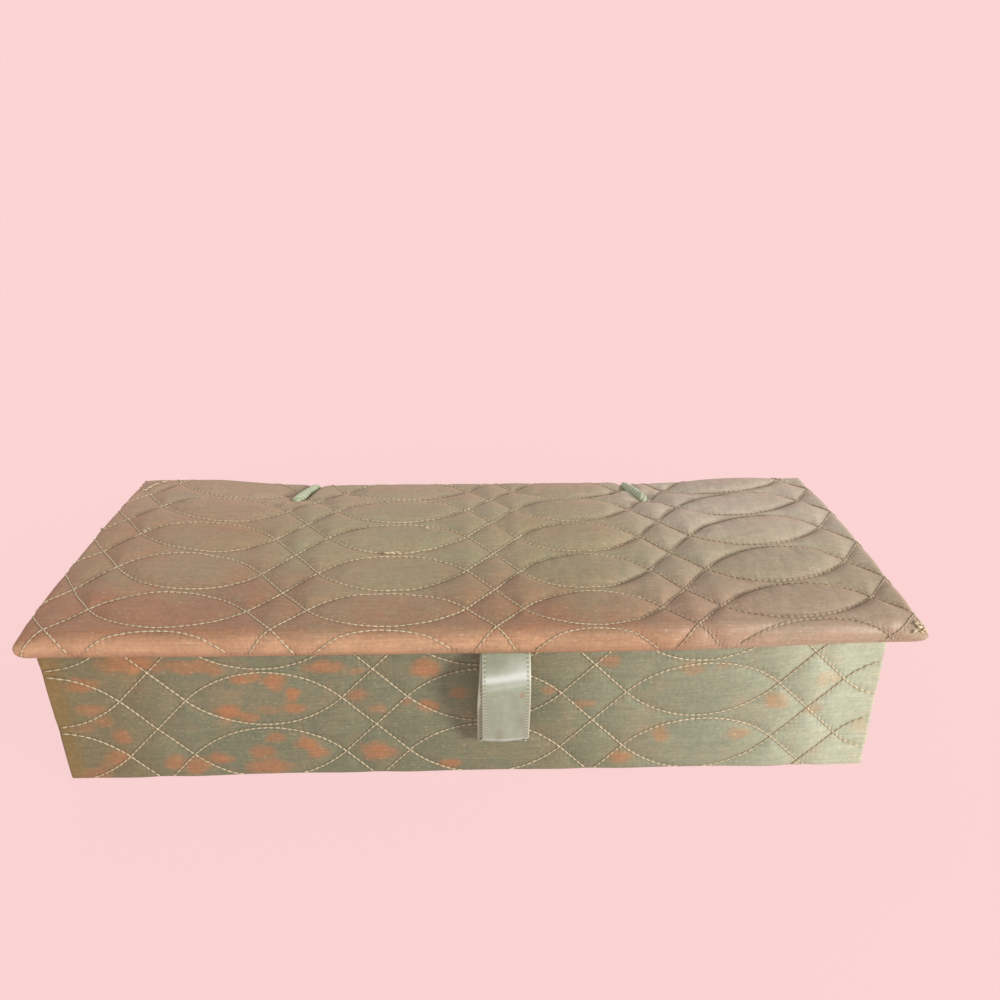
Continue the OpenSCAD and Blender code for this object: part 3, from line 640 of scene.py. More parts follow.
def wall_columns(spacing):
    """Columns round the box: place on the rectangle, outward angle, phase and length so far."""
    corners = [(-1, -1), (1, -1), (1, 1), (-1, 1), (-1, -1)]
    lengths = [RUN_X, RUN_Y, RUN_X, RUN_Y]
    rows, length, phase = [], 0.0, FRONT[0]
    for wall in range(4):
        start, end = np.array(corners[wall], float), np.array(corners[wall + 1], float)
        rate = (FRONT[1] - FRONT[0]) / RUN_X if wall == 0 else REST_RATE
        count, angle = round(lengths[wall] / spacing), wall * 90 - 90
        for k in range(count):
            share = k / count
            rows.append((*(start + share * (end - start)), angle,
                         phase + share * lengths[wall] * rate, length + share * lengths[wall]))
        length, phase = length + lengths[wall], phase + lengths[wall] * rate
        for k in range(BEND_STEPS):
            along = BEND * k / BEND_STEPS
            rows.append((*end, angle + 90 * k / BEND_STEPS, phase + along * REST_RATE,
                         length + along))
        length, phase = length + BEND, phase + BEND * REST_RATE
    rows.append((*corners[4], 270, phase, length))
    return np.array(rows).T


def wall_profile():
    """The cloth's closed section: depth, height, height along the cloth, and how quilted."""
    steps = [(HEM_TUCK, PAPER_T, -9.0, 0), (7.0, PAPER_T, -5.0, 0),
             (3.0, FOOT_Z + 0.1, -1.0, 0)]
    steps += [(FOOT * (1 - sin(a)), FOOT_Z + FOOT * (1 - cos(a)), FOOT * (a - 1), 0.2 + 0.4 * a)
              for a in np.linspace(0, pi / 2, 5)[:-1]]
    low, high = FOOT_Z + FOOT, BOX_H - RIM_ROLL
    steps += [(0, z, z, 1) for z in np.linspace(low, high, 76)]
    middle = HEM_IN / 2
    steps += [(middle * (1 - cos(a)), high + RIM_ROLL * sin(a), high + RIM_ROLL * a,
               1 - 0.35 * a / pi) for a in np.linspace(0, pi, 15)[1:]]
    inner = high + RIM_ROLL * pi
    steps += [(HEM_IN, high - z, inner + z, 0.4) for z in (1.2, 2.6, 4.0, 5.0)]
    steps += [(HEM_IN - HEM_T, high - 5.0, inner + 6, 0),
              (HEM_IN - HEM_T, high + 1.4, inner + 12, 0),
              (COVER_T, high + 1.4, inner + 15, 0), (COVER_T, 30.0, inner + 45, 0),
              (COVER_T, PAPER_T + HEM_T, inner + 74, 0),
              (HEM_TUCK, PAPER_T + HEM_T, inner + 83, 0), (HEM_TUCK, PAPER_T, inner + 84, 0)]
    return np.array(steps).T


def make_wall_cloth():
    """Places of the cloth round the walls, with its pattern coordinates."""
    ex, ey, angle, phase, length = wall_columns(WALL_FINE)
    depth, z, up, quilted = wall_profile()
    past = np.clip((length - RUN_X) / (length[-1] - RUN_X), 0, 1)
    rise = np.where(length <= RUN_X, wall_rise(length - RUN_X / 2),
                    wall_rise(RUN_X / 2) * (1 - past) + wall_rise(-RUN_X / 2) * past)
    across = up[None, :] - WALL_OVAL[1] - WALL_Q.rows / 2 - rise[:, None]
    phase_at = np.broadcast_to(phase[:, None], across.shape)
    round_at = np.broadcast_to(length[:, None], across.shape)
    edge = (np.abs(ex) + np.abs(ey) - 1)[:, None]
    firm = 1 - 0.75 * ramp((edge - 0.86) / 0.10)
    right = ramp((length - RUN_X / 2 - 50) / 90) * (1 - ramp(past * 5))
    plump = WALL_PLUMP + WALL_PLUMP_MORE * right[:, None]
    lift = puffed(WALL_Q, phase_at, across, plump) * firm - WALL_SEAM
    # The lid's overhang has pressed the top of the back wall flat
    lift = lift - PRESSED_BACK * (ey > 0.99)[:, None] * ramp((up - 46) / 6)[None, :]
    drift = (BOX_X * ex + 0.8 * BOX_Y * ey)[:, None]
    uneven = 0.12 * ripples(drift, across, 38, 21) + 0.05 * ripples(drift, across, 11, 22)
    lift = lift + uneven * firm
    lift = lift * quilted
    into = depth[None, :] - np.where(up < BOX_H + 1, lift, 0)
    r = np.maximum(0.5, CORNER - into)
    turn = np.radians(angle)[:, None]
    x = ex[:, None] * (BOX_X - into - r) + r * np.cos(turn)
    y = ey[:, None] * (BOX_Y - into - r) + r * np.sin(turn)
    # The cloth stands off the ends, and a little off the front's foot
    outer = np.where(up < BOX_H, 1 - ramp((up - BOX_H + 6) / 6), 0)[None, :]
    outer = outer * ramp(up / 2 + 1)[None, :]
    high_up = np.clip(z / BOX_H, 0, 1)[None, :]
    stand = np.where(x < 0, LEFT_OFF + LEFT_MORE * high_up, RIGHT_OFF - RIGHT_LESS * high_up)
    x = x + np.sign(x) * stand * ramp((np.abs(x) - BOX_X + 9) / 9) * outer
    foot = FOOT_OFF + FOOT_MORE * ramp((-x - 50) / 100)
    y = y - foot * (1 - high_up) ** 2 * (y < 0) * outer
    crown = ramp((np.abs(up - BOX_H - 1.6) - 4) / -3)
    high = z[None, :] + 0.6 * lift * crown + 0 * x
    points = np.stack((x, y, np.minimum(high, BOX_H + 0.25)), axis=-1)
    return points, phase_at, across, round_at, np.broadcast_to(up, across.shape)


WALL_CLOTH, WALL_PHASE, WALL_ACROSS, WALL_ROUND, WALL_UP = make_wall_cloth()

# Rust stains of the front, as place along it, height, half width, half height and strength
STAINS = [(-141, 43, 5.5, 3.2, 0.9), (-140, 32, 5, 2.8, 0.7), (-136, 27, 3.4, 2.2, 0.6),
          (-130, 20, 3.4, 3.2, 0.8), (-143, 24, 3.6, 2.4, 0.5), (-122, 52, 11, 3.6, 0.8),
          (-101, 51, 12, 3.2, 0.7), (-92, 49, 4, 2.4, 0.6), (-133, 10, 4.4, 3.4, 0.8),
          (-139, 6, 3.4, 2.4, 0.5), (-142, 3, 5.5, 2.4, 0.6), (-112, 7, 5, 4.6, 0.8),
          (-104, 6, 5.4, 4, 0.7), (-95, 9, 4.8, 3.4, 0.8), (-89, 30, 6, 4.2, 0.9),
          (-83, 28, 4.4, 2.8, 0.75), (-83, 45, 3.4, 2.4, 0.8), (-78, 46, 3, 2.4, 0.7),
          (-71, 44, 5, 3.8, 0.9), (-65, 38, 3.6, 2.8, 0.9), (-65, 32, 5, 3.2, 0.8),
          (-74, 31, 5.4, 2, 0.4), (-73, 18, 4.4, 2.6, 0.8), (-61, 15, 5.4, 3.8, 0.95),
          (-58, 11, 4, 2.8, 0.8), (-78, 12, 5.4, 3.4, 0.85), (-76, 5, 8.5, 4.4, 0.85),
          (-82, 4, 4.4, 2.4, 0.7), (-52, 50, 8, 3.4, 0.8), (-41, 37, 4.4, 2.8, 0.7),
          (-34, 31, 3.4, 2.4, 0.5), (-35, 11, 7.5, 4.6, 0.9), (-41, 48, 3.4, 2, 0.5),
          (-15, 49, 6.5, 4.4, 0.95), (-15, 32, 4.4, 3.2, 0.8), (-23, 34, 2.6, 2.2, 0.5),
          (-4, 38, 3.4, 2.4, 0.6), (-7, 4, 4.4, 2.6, 0.8), (30, 38, 4, 2.4, 0.6),
          (44, 32, 4, 2.4, 0.5), (52, 51, 5, 2.8, 0.7), (58, 6, 4, 2.8, 0.6),
          (73, 17, 3.4, 4.2, 0.75), (83, 47, 5.4, 2.8, 0.7), (94, 48, 3, 2, 0.5),
          (103, 17, 5, 2.6, 0.6), (116, 32, 5, 3.8, 0.75), (134, 42, 5, 3.4, 0.5),
          (131, 28, 4.4, 2.8, 0.45), (149, 20, 3.4, 3.4, 0.4)]


def wall_rust(points):
    """How rusty the walls' cloth is: stains on the front and a slow drift elsewhere."""
    x, y, z = (points[..., k] for k in range(3))
    along = x + np.where(np.abs(x) > BOX_X - 4, np.sign(x) * (y + BOX_Y), 0)
    warp_x = 0.7 * ripples(along, z, 9, 31) + 0.35 * ripples(along, z, 4, 37)
    warp_z = 0.6 * ripples(along, z, 8, 32) + 0.3 * ripples(along, z, 4, 38)
    total = np.zeros(x.shape)
    for stain_x, stain_z, width, height, strength in STAINS:
        grown = 1.25 if stain_x < -120 else 1.08
        strength = strength * (0.72 if stain_x > 60 else 1)
        gone = np.hypot((x - stain_x + warp_x) / width, (z - stain_z + warp_z) / height) / grown
        total = np.maximum(total, 0.9 * strength * (1 - ramp((gone - 0.45) / 0.75)))
    total = total * (y < 0)
    loose = ramp((ripples(along, z, 26, 33) + 0.5 * ripples(along, z, 9, 34) - 0.55) / 0.8)
    total = np.maximum(total, 0.55 * loose * (y > -BOX_Y + 4))
    return np.clip(total + 0.02 + 0.05 * ripples(along, z, 45, 35), 0, 1)


def wall_brown(points):
    """How far the cloth turns yellow-brown towards the front's left end."""
    x, z = points[..., 0], points[..., 2]
    return 0.4 * ramp((-x - 96 + 6 * ripples(x, z, 40, 39)) / 40) + 0.6 * ramp((-x - 143) / 8)


def wall_pale(points):
    """How pale the walls' cloth has faded: most at the front's right end."""
    x, z = points[..., 0], points[..., 2]
    x = x + 7 * ripples(x, z, 60, 36)
    return np.clip(0.68 * ramp((x - 30) / 110) + 0.32 * ramp((x - 105) / 34), 0, 1)


def wall_painted_light_and_shade(points):
    """Painted shade on the front, darker to the right and left of the tab, with a little painted
    light between them.
    """
    x = points[..., 0]
    return 0.02 * bump(x - 38, 22) - 0.06 * bump(x - 90, 28) - 0.045 * bump(x + 20, 24)


def make_wall_cover():
    """The mesh of the walls' cover, one band joined to itself both ways."""
    gaps, _, _, run, _ = WALL_Q.at(WALL_PHASE, WALL_ACROSS)
    marks = {"seam": np.minimum(gaps[0], SEAM_FAR), "run": run / STITCH,
             "rust": wall_rust(WALL_CLOTH), "pale": wall_pale(WALL_CLOTH),
             "brown_and_highlight": wall_brown(WALL_CLOTH), "painted_light_and_shade": wall_painted_light_and_shade(WALL_CLOTH)}
    uv = np.stack((WALL_ROUND, WALL_ACROSS), axis=-1)
    return sew(grid_mesh("wall_cover", WALL_CLOTH, uv, marks), "wall_cover")


wall_cover = make_wall_cover()


# ---- Stitches, each one a short piece of thread that lies in its seam

def make_stitches(name, places, outs, steps, keep, soil_and_shade, girth=THREAD):
    """Stitches at places on the cloth, a step long each, as one piece; some are darkened, partly as
    soil and partly as painted shade where they lie sunk in their seams.
    """
    bm = bmesh.new()
    bmesh.ops.create_icosphere(bm, subdivisions=1, radius=1)
    one = bpy.data.meshes.new(name + "_one")
    bm.to_mesh(one)
    shape = np.array([v.co for v in one.vertices])
    bm.clear()
    places, outs, steps, soil_and_shade = places[keep], outs[keep], steps[keep], soil_and_shade[keep]
    for _ in range(len(places)):
        bm.from_mesh(one)
    bpy.data.meshes.remove(one)
    made = finish_mesh(bm, name)
    across = np.cross(outs, unit(steps))
    draw = np.random.default_rng(len(places))
    length = 0.5 * draw.uniform(1.1, 1.28, len(places))[:, None, None]
    wide = girth * draw.uniform(0.85, 1.15, len(places))[:, None, None]
    spots = (places + 0.16 * outs)[:, None, :] + shape[None, :, 0:1] * length * steps[:, None, :]
    spots = spots + shape[None, :, 1:2] * wide * across[:, None, :]
    spots = spots + shape[None, :, 2:3] * 0.85 * wide * outs[:, None, :]
    made.data.vertices.foreach_set("co", (spots * MM).ravel())
    shaded_and_soiled = np.repeat(soil_and_shade * draw.uniform(0.6, 1.0, len(places)), len(shape))
    layer = made.data.attributes.new("soil_and_shade", "FLOAT", "POINT")
    layer.data.foreach_set("value", shaded_and_soiled.astype(np.float32))
    made.data.update()
    return made


def gather(parts):
    """One array out of several, end to end."""
    return np.concatenate(list(parts))


def make_lid_stitches():
    """The cream stitches over the lid's top and its padded edges."""
    low, high = (lid_pattern(side * (FLAT_X + 9), 0)[0] for side in (-1, 1))
    places, outs, steps, keep = [], [], [], []
    for phase, across in LID_Q.lines(low, high, -4, 4):
        u, v = lid_place(phase, across)
        spot, out = on_lid(u, v)
        edge = np.maximum(np.abs(u) - FLAT_X, np.abs(v) - FLAT_Y)
        near_cord = np.min([np.hypot(spot[:, 0] - x, spot[:, 1] - CORD_Y) for x, _ in
                            CORDS.values()], axis=0)
        shown = (edge < 9) & (near_cord > 3)
        for group, part in zip((places, outs, steps, keep),
                               (spot, out, np.gradient(spot, axis=0), shown)):
            group.append(part)
    places, outs, steps, keep = map(gather, (places, outs, steps, keep))
    back_slant = steps[:, 0] * steps[:, 1] < 0
    x = places[:, 0]
    # Stitches on the lid's right half are darkened, partly as soil and partly as painted shade
    # where they lie sunk in their seams
    soil_and_shade = 0.14 + 0.12 * ripples(x, places[:, 1], 25, 15)
    soil_and_shade = soil_and_shade + np.where(back_slant, 0.7 * ramp((x - 38) / 50), 0.5 * ramp((x - 15) / 60))
    return make_stitches("lid_stitches", places, outs, steps, keep, soil_and_shade)


def on_wall(phase, across):
    """Places on the finished cover of the walls, and the outward direction there."""
    columns, rows = WALL_PHASE[:, 0], WALL_UP[0, :RIM_ROWS]
    rise = rows[0] - WALL_ACROSS[:, 0]
    up = across + np.interp(phase, columns, rise)

    def place(a, b):
        return spread(WALL_CLOTH, np.interp(a, columns, np.arange(len(columns))),
                      np.interp(b, rows, np.arange(RIM_ROWS)))
    step = 0.5 / WALL_Q.pitch
    sideways = place(phase + step, up) - place(phase - step, up)
    upward = place(phase, up + 0.5) - place(phase, up - 0.5)
    return place(phase, up), unit(np.cross(sideways, upward)), up


def make_wall_stitches():
    """The stitches of the walls, from the foot to the rim."""
    low, high = WALL_PHASE[0, 0], WALL_PHASE[-1, 0]
    corners = np.cumsum([0, *[RUN_X + BEND, RUN_Y + BEND] * 2]) - BEND / 2
    places, outs, steps, keep = [], [], [], []
    for phase, across in WALL_Q.lines(low, high, -2, 3):
        spot, out, up = on_wall(phase, across)
        length = np.interp(phase, WALL_PHASE[:, 0], WALL_ROUND[:, 0])
        from_corner = np.min(np.abs(length[:, None] - corners[None, :]), axis=1)
        shown = (up > 0.6) & (up < BOX_H + 1) & (from_corner > BEND / 2 + 1.1)
        for group, part in zip((places, outs, steps, keep),
                               (spot, out, np.gradient(spot, axis=0), shown)):
            group.append(part)
    places, outs, steps, keep = map(gather, (places, outs, steps, keep))
    front = places[:, 1] < -BOX_Y + 4
    # Painted shade on one family of stitches at the front's right end, where they lie sunk in their
    # seams
    soil_and_shade = 0.5 * ramp((places[:, 0] - 100) / 25) * (steps[:, 0] * steps[:, 2] > 0) * front
    return make_stitches("wall_stitches", places, outs, steps, keep, soil_and_shade, girth=0.32)


def make_loose_threads():
    """Frayed ends and mending stitches: at a tear, at the lid's left end and at two corners.
    Each is a place on the lid and a step along and across it."""
    spots = [(-33.0, -12.3, 2.6, 0.5), (-31.0, -12.0, 3.0, 0.2), (-28.6, -11.6, 2.2, -0.2),
             (-34.4, -12.8, 1.4, 1.2), (-17.5, 5.5, 1.6, 0.3), (-136, 8, 1.8, 0.6),
             (-135, 9.2, 1.4, -0.5), (-151.0, 52.0, 2.6, 2.2), (-149.4, 54.4, 2.6, 2.4),
             (-147.6, 57.0, 2.8, 2.6), (-144.6, 60.0, 2.8, 1.8), (-157.5, 15.2, 1.8, 1.0),
             (-158.2, 17.0, 0.6, 2.0), (-157.0, 13.6, 2.0, -0.6)]
    draw = np.random.default_rng(77)
    spots += [(161.0 + draw.normal(0, 1.4), -65.0 + draw.normal(0, 1.5),
               *draw.uniform(-2.2, 2.2, 2)) for _ in range(16)]
    x, y, step_x, step_y = np.array(spots).T
    places, outs = on_lid(x - LID_SHIFT, y)
    steps = np.stack((step_x, step_y, 0.25 * draw.uniform(-1, 1, len(spots))), axis=-1)
    flat = steps - outs * np.sum(steps * outs, axis=-1, keepdims=True)
    every = np.ones(len(spots), bool)
    # One thread at the tear is darkened, partly as soil and partly as painted shade
    shaded_and_soiled = (np.arange(len(spots)) == 3) * 1.5
    return make_stitches("loose_threads", places + 0.45 * outs, outs, flat, every, shaded_and_soiled,
                         girth=0.42)


lid_stitches = make_lid_stitches()
wall_stitches = make_wall_stitches()
loose_threads = make_loose_threads()


# ---- Twisted cord loops

def smooth_path(points, count, closed):
    """A smooth line of evenly spaced places through a few points."""
    points = np.array(points, float)
    n = len(points)
    dense = []
    for k in range(n if closed else n - 1):
        p0, p1, p2, p3 = (points[(k + d) % n] if closed else points[min(max(k + d, 0), n - 1)]
                          for d in (-1, 0, 1, 2))
        for t in np.linspace(0, 1, 16, endpoint=False):
            dense.append(0.5 * (2 * p1 + (p2 - p0) * t + (2 * p0 - 5 * p1 + 4 * p2 - p3) * t * t
                                + (3 * p1 - p0 - 3 * p2 + p3) * t ** 3))
    dense.append(points[0] if closed else points[-1])
    dense = np.array(dense)
    along = np.concatenate(([0], np.cumsum(np.linalg.norm(np.diff(dense[:, :3], axis=0), axis=1))))
    even = np.linspace(0, along[-1], count)
    return np.stack([np.interp(even, along, dense[:, k]) for k in range(dense.shape[1])], axis=1)


def cord_route(hole_x, lean):
    """A cord's closed line: up through the lid, over its back edge, in through the wall."""
    lx = hole_x - LID_SHIFT
    sunk, thick = -1.5, CORD_R * (1.22 if hole_x < 0 else 1.08)
    bend, top = 2 * CORD_R, float(lid_top(lx, CORD_Y)) - 1.9
    half, out = (float(lid_top(lx, FLAT_Y)) - LID_Z) / 2, ROLL + sunk - 0.2
    wall = BOX_Y + bend
    line = [(CORD_Y, 56.2, CORD_R), (CORD_Y, LID_Z, CORD_R), (CORD_Y, top - bend, CORD_R)]
    line += [(CORD_Y + bend * (1 - cos(a)), top - bend * (1 - sin(a)), thick)
             for a in (radians(35), radians(65))]
    line += [(CORD_Y + beyond, float(lid_top(lx, CORD_Y + beyond)) - deep, thick)
             for beyond, deep in ((4.5, 1.7), (9.5, 1.3), (14.0, 1.3))]
    line += [(FLAT_Y, float(lid_top(lx, FLAT_Y)) + sunk, thick)]
    line += [(FLAT_Y + out * sin(a), LID_Z + half + (half + sunk) * cos(a), CORD_R)
             for a in np.radians((25, 50, 75, 100, 125, 150))]
    line += [(wall + 0.5 * bend, WALL_HOLE_Z + 1.6 * bend, CORD_R)]
    line += [(wall - bend * sin(a) + 0.2, WALL_HOLE_Z + bend * (1 - sin(a)) * 0.9, CORD_R)
             for a in np.radians((15, 45, 75))]
    line += [(BOX_Y - 1, WALL_HOLE_Z, CORD_R), (BOX_Y - LINING_IN + 0.5, WALL_HOLE_Z, CORD_R),
             (CORD_Y + 1, 50.3, 1.15 * CORD_R), (CORD_Y - 0.5, 52.2, 2.7),
             (CORD_Y - 0.3, 54.2, 1.3 * CORD_R)]
    return [(hole_x + lean * (y - CORD_Y), y, z, r) for y, z, r in line]


def make_cord(name, hole_x, lean):
    """One closed loop of three-strand twisted cord."""
    count, around, twist_l = 420, 24, 7.5
    path = smooth_path(cord_route(hole_x, lean), count, closed=True)
    spots, radius = path[:, :3], path[:, 3]
    way = unit(np.roll(spots[:-1], -1, axis=0) - np.roll(spots[:-1], 1, axis=0))
    way = np.concatenate((way, way[:1]))
    side = unit(np.cross(way, np.cross((1.0, -lean, 0.0), way)))
    out = np.cross(way, side)
    length = np.concatenate(([0], np.cumsum(np.linalg.norm(np.diff(spots, axis=0), axis=1))))
    turns = round(length[-1] / twist_l)
    angle = np.linspace(0, 2 * pi, around + 1)
    twist = (length / length[-1] * turns * 2 * pi)[:, None]
    strand = np.abs(np.cos(1.5 * (angle[None, :] - twist)))
    girth = radius[:, None] * (0.74 + 0.30 * strand ** 0.8)
    round_it = (np.cos(angle)[None, :, None] * side[:, None, :]
                + np.sin(angle)[None, :, None] * out[:, None, :])
    points = spots[:, None, :] + girth[..., None] * round_it
    uv = np.stack((length[:, None] + 0 * angle, 3.5 * (angle - twist) / pi), axis=-1)
    return sew(grid_mesh(name, points, uv, {"seam": 1 - strand}), name)


cords = {name: make_cord(name, *place) for name, place in CORDS.items()}


# ---- The ribbon tab

# How it hangs: forward of and above the lid's front edge, down to its fold
TAB_LINE = [(6.2, 0.2), (4.8, -0.4), (3.2, -1.6), (1.7, -2.7), (0.5, -3.7), (-1.0, -5.2),
            (-3.2, -8.2), (-4.3, -11.3), (-4.4, -15.5), (-3.0, -0.58 * TAB_L),
            (-0.6, -0.8 * TAB_L), (1.6, 0.4 - TAB_L)]


def make_tab():
    """One length of ribbon: tail under the lid, front layer, fold, back layer, tail again."""
    front = smooth_path([(TAB_Y + y, TAB_Z + z) for y, z in TAB_LINE], 90, closed=False)
    way = unit(np.gradient(front, axis=0))
    out = np.stack((way[:, 1], -way[:, 0]), axis=1)
    gap, thickness, tail_end = 0.34, 0.24, -46.5
    ahead, behind = front + gap * out, front - gap * out
    fold = [front[-1] + gap * (cos(a) * out[-1] + sin(a) * way[-1])
            for a in np.linspace(0, pi, 9)[1:-1]]
    tail_y = np.linspace(tail_end, ahead[0, 0] - 0.4, 12)[:, None]
    tails = [np.concatenate((tail_y, np.full_like(tail_y, z)), axis=1)
             for z in (ahead[0, 1], behind[0, 1])]
    line = np.concatenate((tails[0], ahead, fold, behind[::-1], tails[1][::-1]))
    length = np.concatenate(([0], np.cumsum(np.linalg.norm(np.diff(line, axis=0), axis=1))))
    half_l = length[-1] / 2
    across = np.linspace(-TAB_W / 2, TAB_W / 2, 29)
    back = ramp((length - half_l + 1.5) / 3)
    hang = ramp((TAB_Z - 2 - line[:, 1]) / 20)
    shift = -1.7 * back * (0.35 + 0.65 * hang)
    w, s = np.meshgrid(across, length, indexing="xy")
    wave = 0.35 * ripples(w, s, 23, 41) * hang[:, None]
    ahead_y, ahead_z = unit(np.gradient(line, axis=0)).T
    normal = np.stack((0 * length, ahead_z, -ahead_y), axis=1)
    place = np.stack((TAB_X + w + shift[:, None], line[:, 0][:, None] + 0 * w,
                      line[:, 1][:, None] + 0 * w), axis=-1)
    front_side = np.where(back > 0.5, -1, 1)[:, None, None]
    place = place + normal[:, None, :] * wave[..., None] * front_side
    # On the side that shows: a painted highlight where the satin bends below the lid's edge, a pale
    # hem line at the fold, painted shade under the lid's edge with darker streaks lower down, and a
    # stain
    drop, shown = TAB_Z - place[..., 2], (back < 0.5)[:, None]
    painted_highlight_and_hem = bump(drop - 8.6 + 0.1 * w, 1.4) + 0.3 * bump(drop - 11.6 + 0.14 * w, 0.9)
    painted_highlight_and_hem = painted_highlight_and_hem + 0.4 * ramp((w + 2) / 8) * bump(drop - 5.8, 2.4)
    painted_highlight_and_hem = painted_highlight_and_hem + 0.5 * bump(drop - TAB_L + 1.2, 0.5)
    painted_shade_and_streaks = 0.6 * bump(drop - 4.2, 1.8) * ramp((4 - w) / 8)
    painted_shade_and_streaks = painted_shade_and_streaks + 0.3 * bump(w - 1 + 0.1 * drop, 1.1) * ramp((drop - 22) / 6)
    painted_shade_and_streaks = painted_shade_and_streaks + 0.22 * (0.6 + ripples(w, 0.3 * s, 5, 42)) * ramp((drop - 12) / 4)
    stain = bump(w - 5.6, 0.8) * bump(drop - 15.5, 1.1)
    marks = {"seam": TAB_W / 2 - np.abs(w), "painted_highlight_and_hem": np.clip(painted_highlight_and_hem, 0, 1) * shown,
             "painted_shade_and_streaks": painted_shade_and_streaks * shown, "stain": stain * shown}
    mesh = grid_mesh("ribbon_tab", place, np.stack((w, s), axis=-1), marks)
    bm = bmesh.new()
    bm.from_mesh(mesh)
    tab = finish_mesh(bm, "ribbon_tab")
    thick = tab.modifiers.new("thickness", "SOLIDIFY")
    thick.thickness, thick.offset = thickness * MM, 0.0
    apply_modifiers(tab)
    return tab, length[-1]


ribbon_tab, ribbon_length = make_tab()


# ---- Satin linings and wadding, as thin padded panels

def padded_panel(name, low, high, faces, crown, seed, corner=1.2, spacing=2.6, creases=0.25):
    """A flat-backed panel that fills a box, puffed on the side that it shows: +x, -z and so on."""
    low, high = np.array(low, float), np.array(high, float)
    side, axis = (1 if faces[0] == "+" else -1), "xyz".index(faces[1])
    a, b = [k for k in range(3) if k != axis]
    size = high - low
    columns, rows = (max(4, round(size[k] / spacing)) for k in (a, b))
    bm = bmesh.new()
    bm.loops.layers.uv.new("cloth")
    bmesh.ops.create_grid(bm, x_segments=columns, y_segments=rows, size=1)
    front = bmesh.ops.extrude_face_region(bm, geom=bm.faces[:])["geom"]
    shown = {part for part in front if isinstance(part, bmesh.types.BMVert)}
    # Rows and columns crowd towards the edges, where the cloth rolls over
    for vert in bm.verts:
        s, t = (1.5 * c - 0.5 * c ** 3 for c in (vert.co.x, vert.co.y))
        p, q = low[a] + size[a] * (s + 1) / 2, low[b] + size[b] * (t + 1) / 2
        place = [0.0, 0.0, 0.0]
        edge = min(size[a] * (1 - abs(s)), size[b] * (1 - abs(t))) / 2
        if vert in shown:
            rolled = sqrt(1 - (1 - min(edge / corner, 1)) ** 2)
            swell = crown * (1 - s * s) * (1 - t * t)
            loose = creases * float(ripples(p, q, 24, seed)) * min(edge / 6, 1)
            depth = size[axis] * (0.25 + 0.75 * rolled) + swell + loose
        else:
            depth = 0.0
        place[a], place[b] = p, q
        place[axis] = low[axis] + depth if side > 0 else high[axis] - depth
        vert.co = Vector(place) * MM
    cloth = bm.loops.layers.uv["cloth"]
    for face in bm.faces:
        for loop in face.loops:
            loop[cloth].uv = (loop.vert.co[a], loop.vert.co[b])
    put_in_order(bm)
    return finish_mesh(bm, name)


def make_linings():
    """The four wall linings, the floor pad, the lid's lining and its wadding."""
    out_x, out_y, in_y = BOX_X - LINING_OUT, BOX_Y - LINING_OUT, BOX_Y - LINING_IN
    in_x = BOX_X - LINING_IN
    panels = {
        "front_lining": ((-out_x, -out_y, FLOOR_Z), (out_x, -in_y, LINING_TOP), "+y"),
        "back_lining": ((-out_x, in_y, FLOOR_Z), (out_x, out_y, LINING_TOP), "-y"),
        "left_lining": ((-out_x, -in_y, FLOOR_Z), (-in_x, in_y, LINING_TOP), "+x"),
        "right_lining": ((in_x, -in_y, FLOOR_Z), (out_x, in_y, LINING_TOP), "-x"),
    }
    made = {}
    for seed, (node, (low, high, faces)) in enumerate(panels.items()):
        made[node] = padded_panel(node + "_satin", low, high, faces, 0.35, 50 + seed)
    low, high = (np.array(c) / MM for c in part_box("base_pad"))
    made["base_pad"] = padded_panel("floor_pad", low, (high[0], high[1], low[2] + 2.2), "+z",
                                    1.6, 60, corner=2.2, spacing=2.4, creases=0.3)
    low, high = (np.array(c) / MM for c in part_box("lid_lining"))
    made["lid_lining"] = padded_panel("lid_lining_satin", (low[0], low[1], high[2] - 1.6), high,
                                      "-z", 0.5, 61, corner=2.0, spacing=2.4, creases=0.2)
    low, high = (np.array(c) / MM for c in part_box("lid_wadding"))
    made["lid_wadding"] = padded_panel("lid_fill", low, (high[0], high[1], low[2] + 0.8), "+z",
                                       0.8, 62, corner=2.0, spacing=4.0, creases=0.1)
    return made


linings = make_linings()


# ---- Materials

def dye(red, green, blue):
    """A colour written as on a screen, from 0 to 255, as the shader wants it."""
    def linear(c):
        c = c / 255
        return c / 12.92 if c <= 0.04045 else ((c + 0.055) / 1.055) ** 2.4
    return (linear(red), linear(green), linear(blue), 1.0)


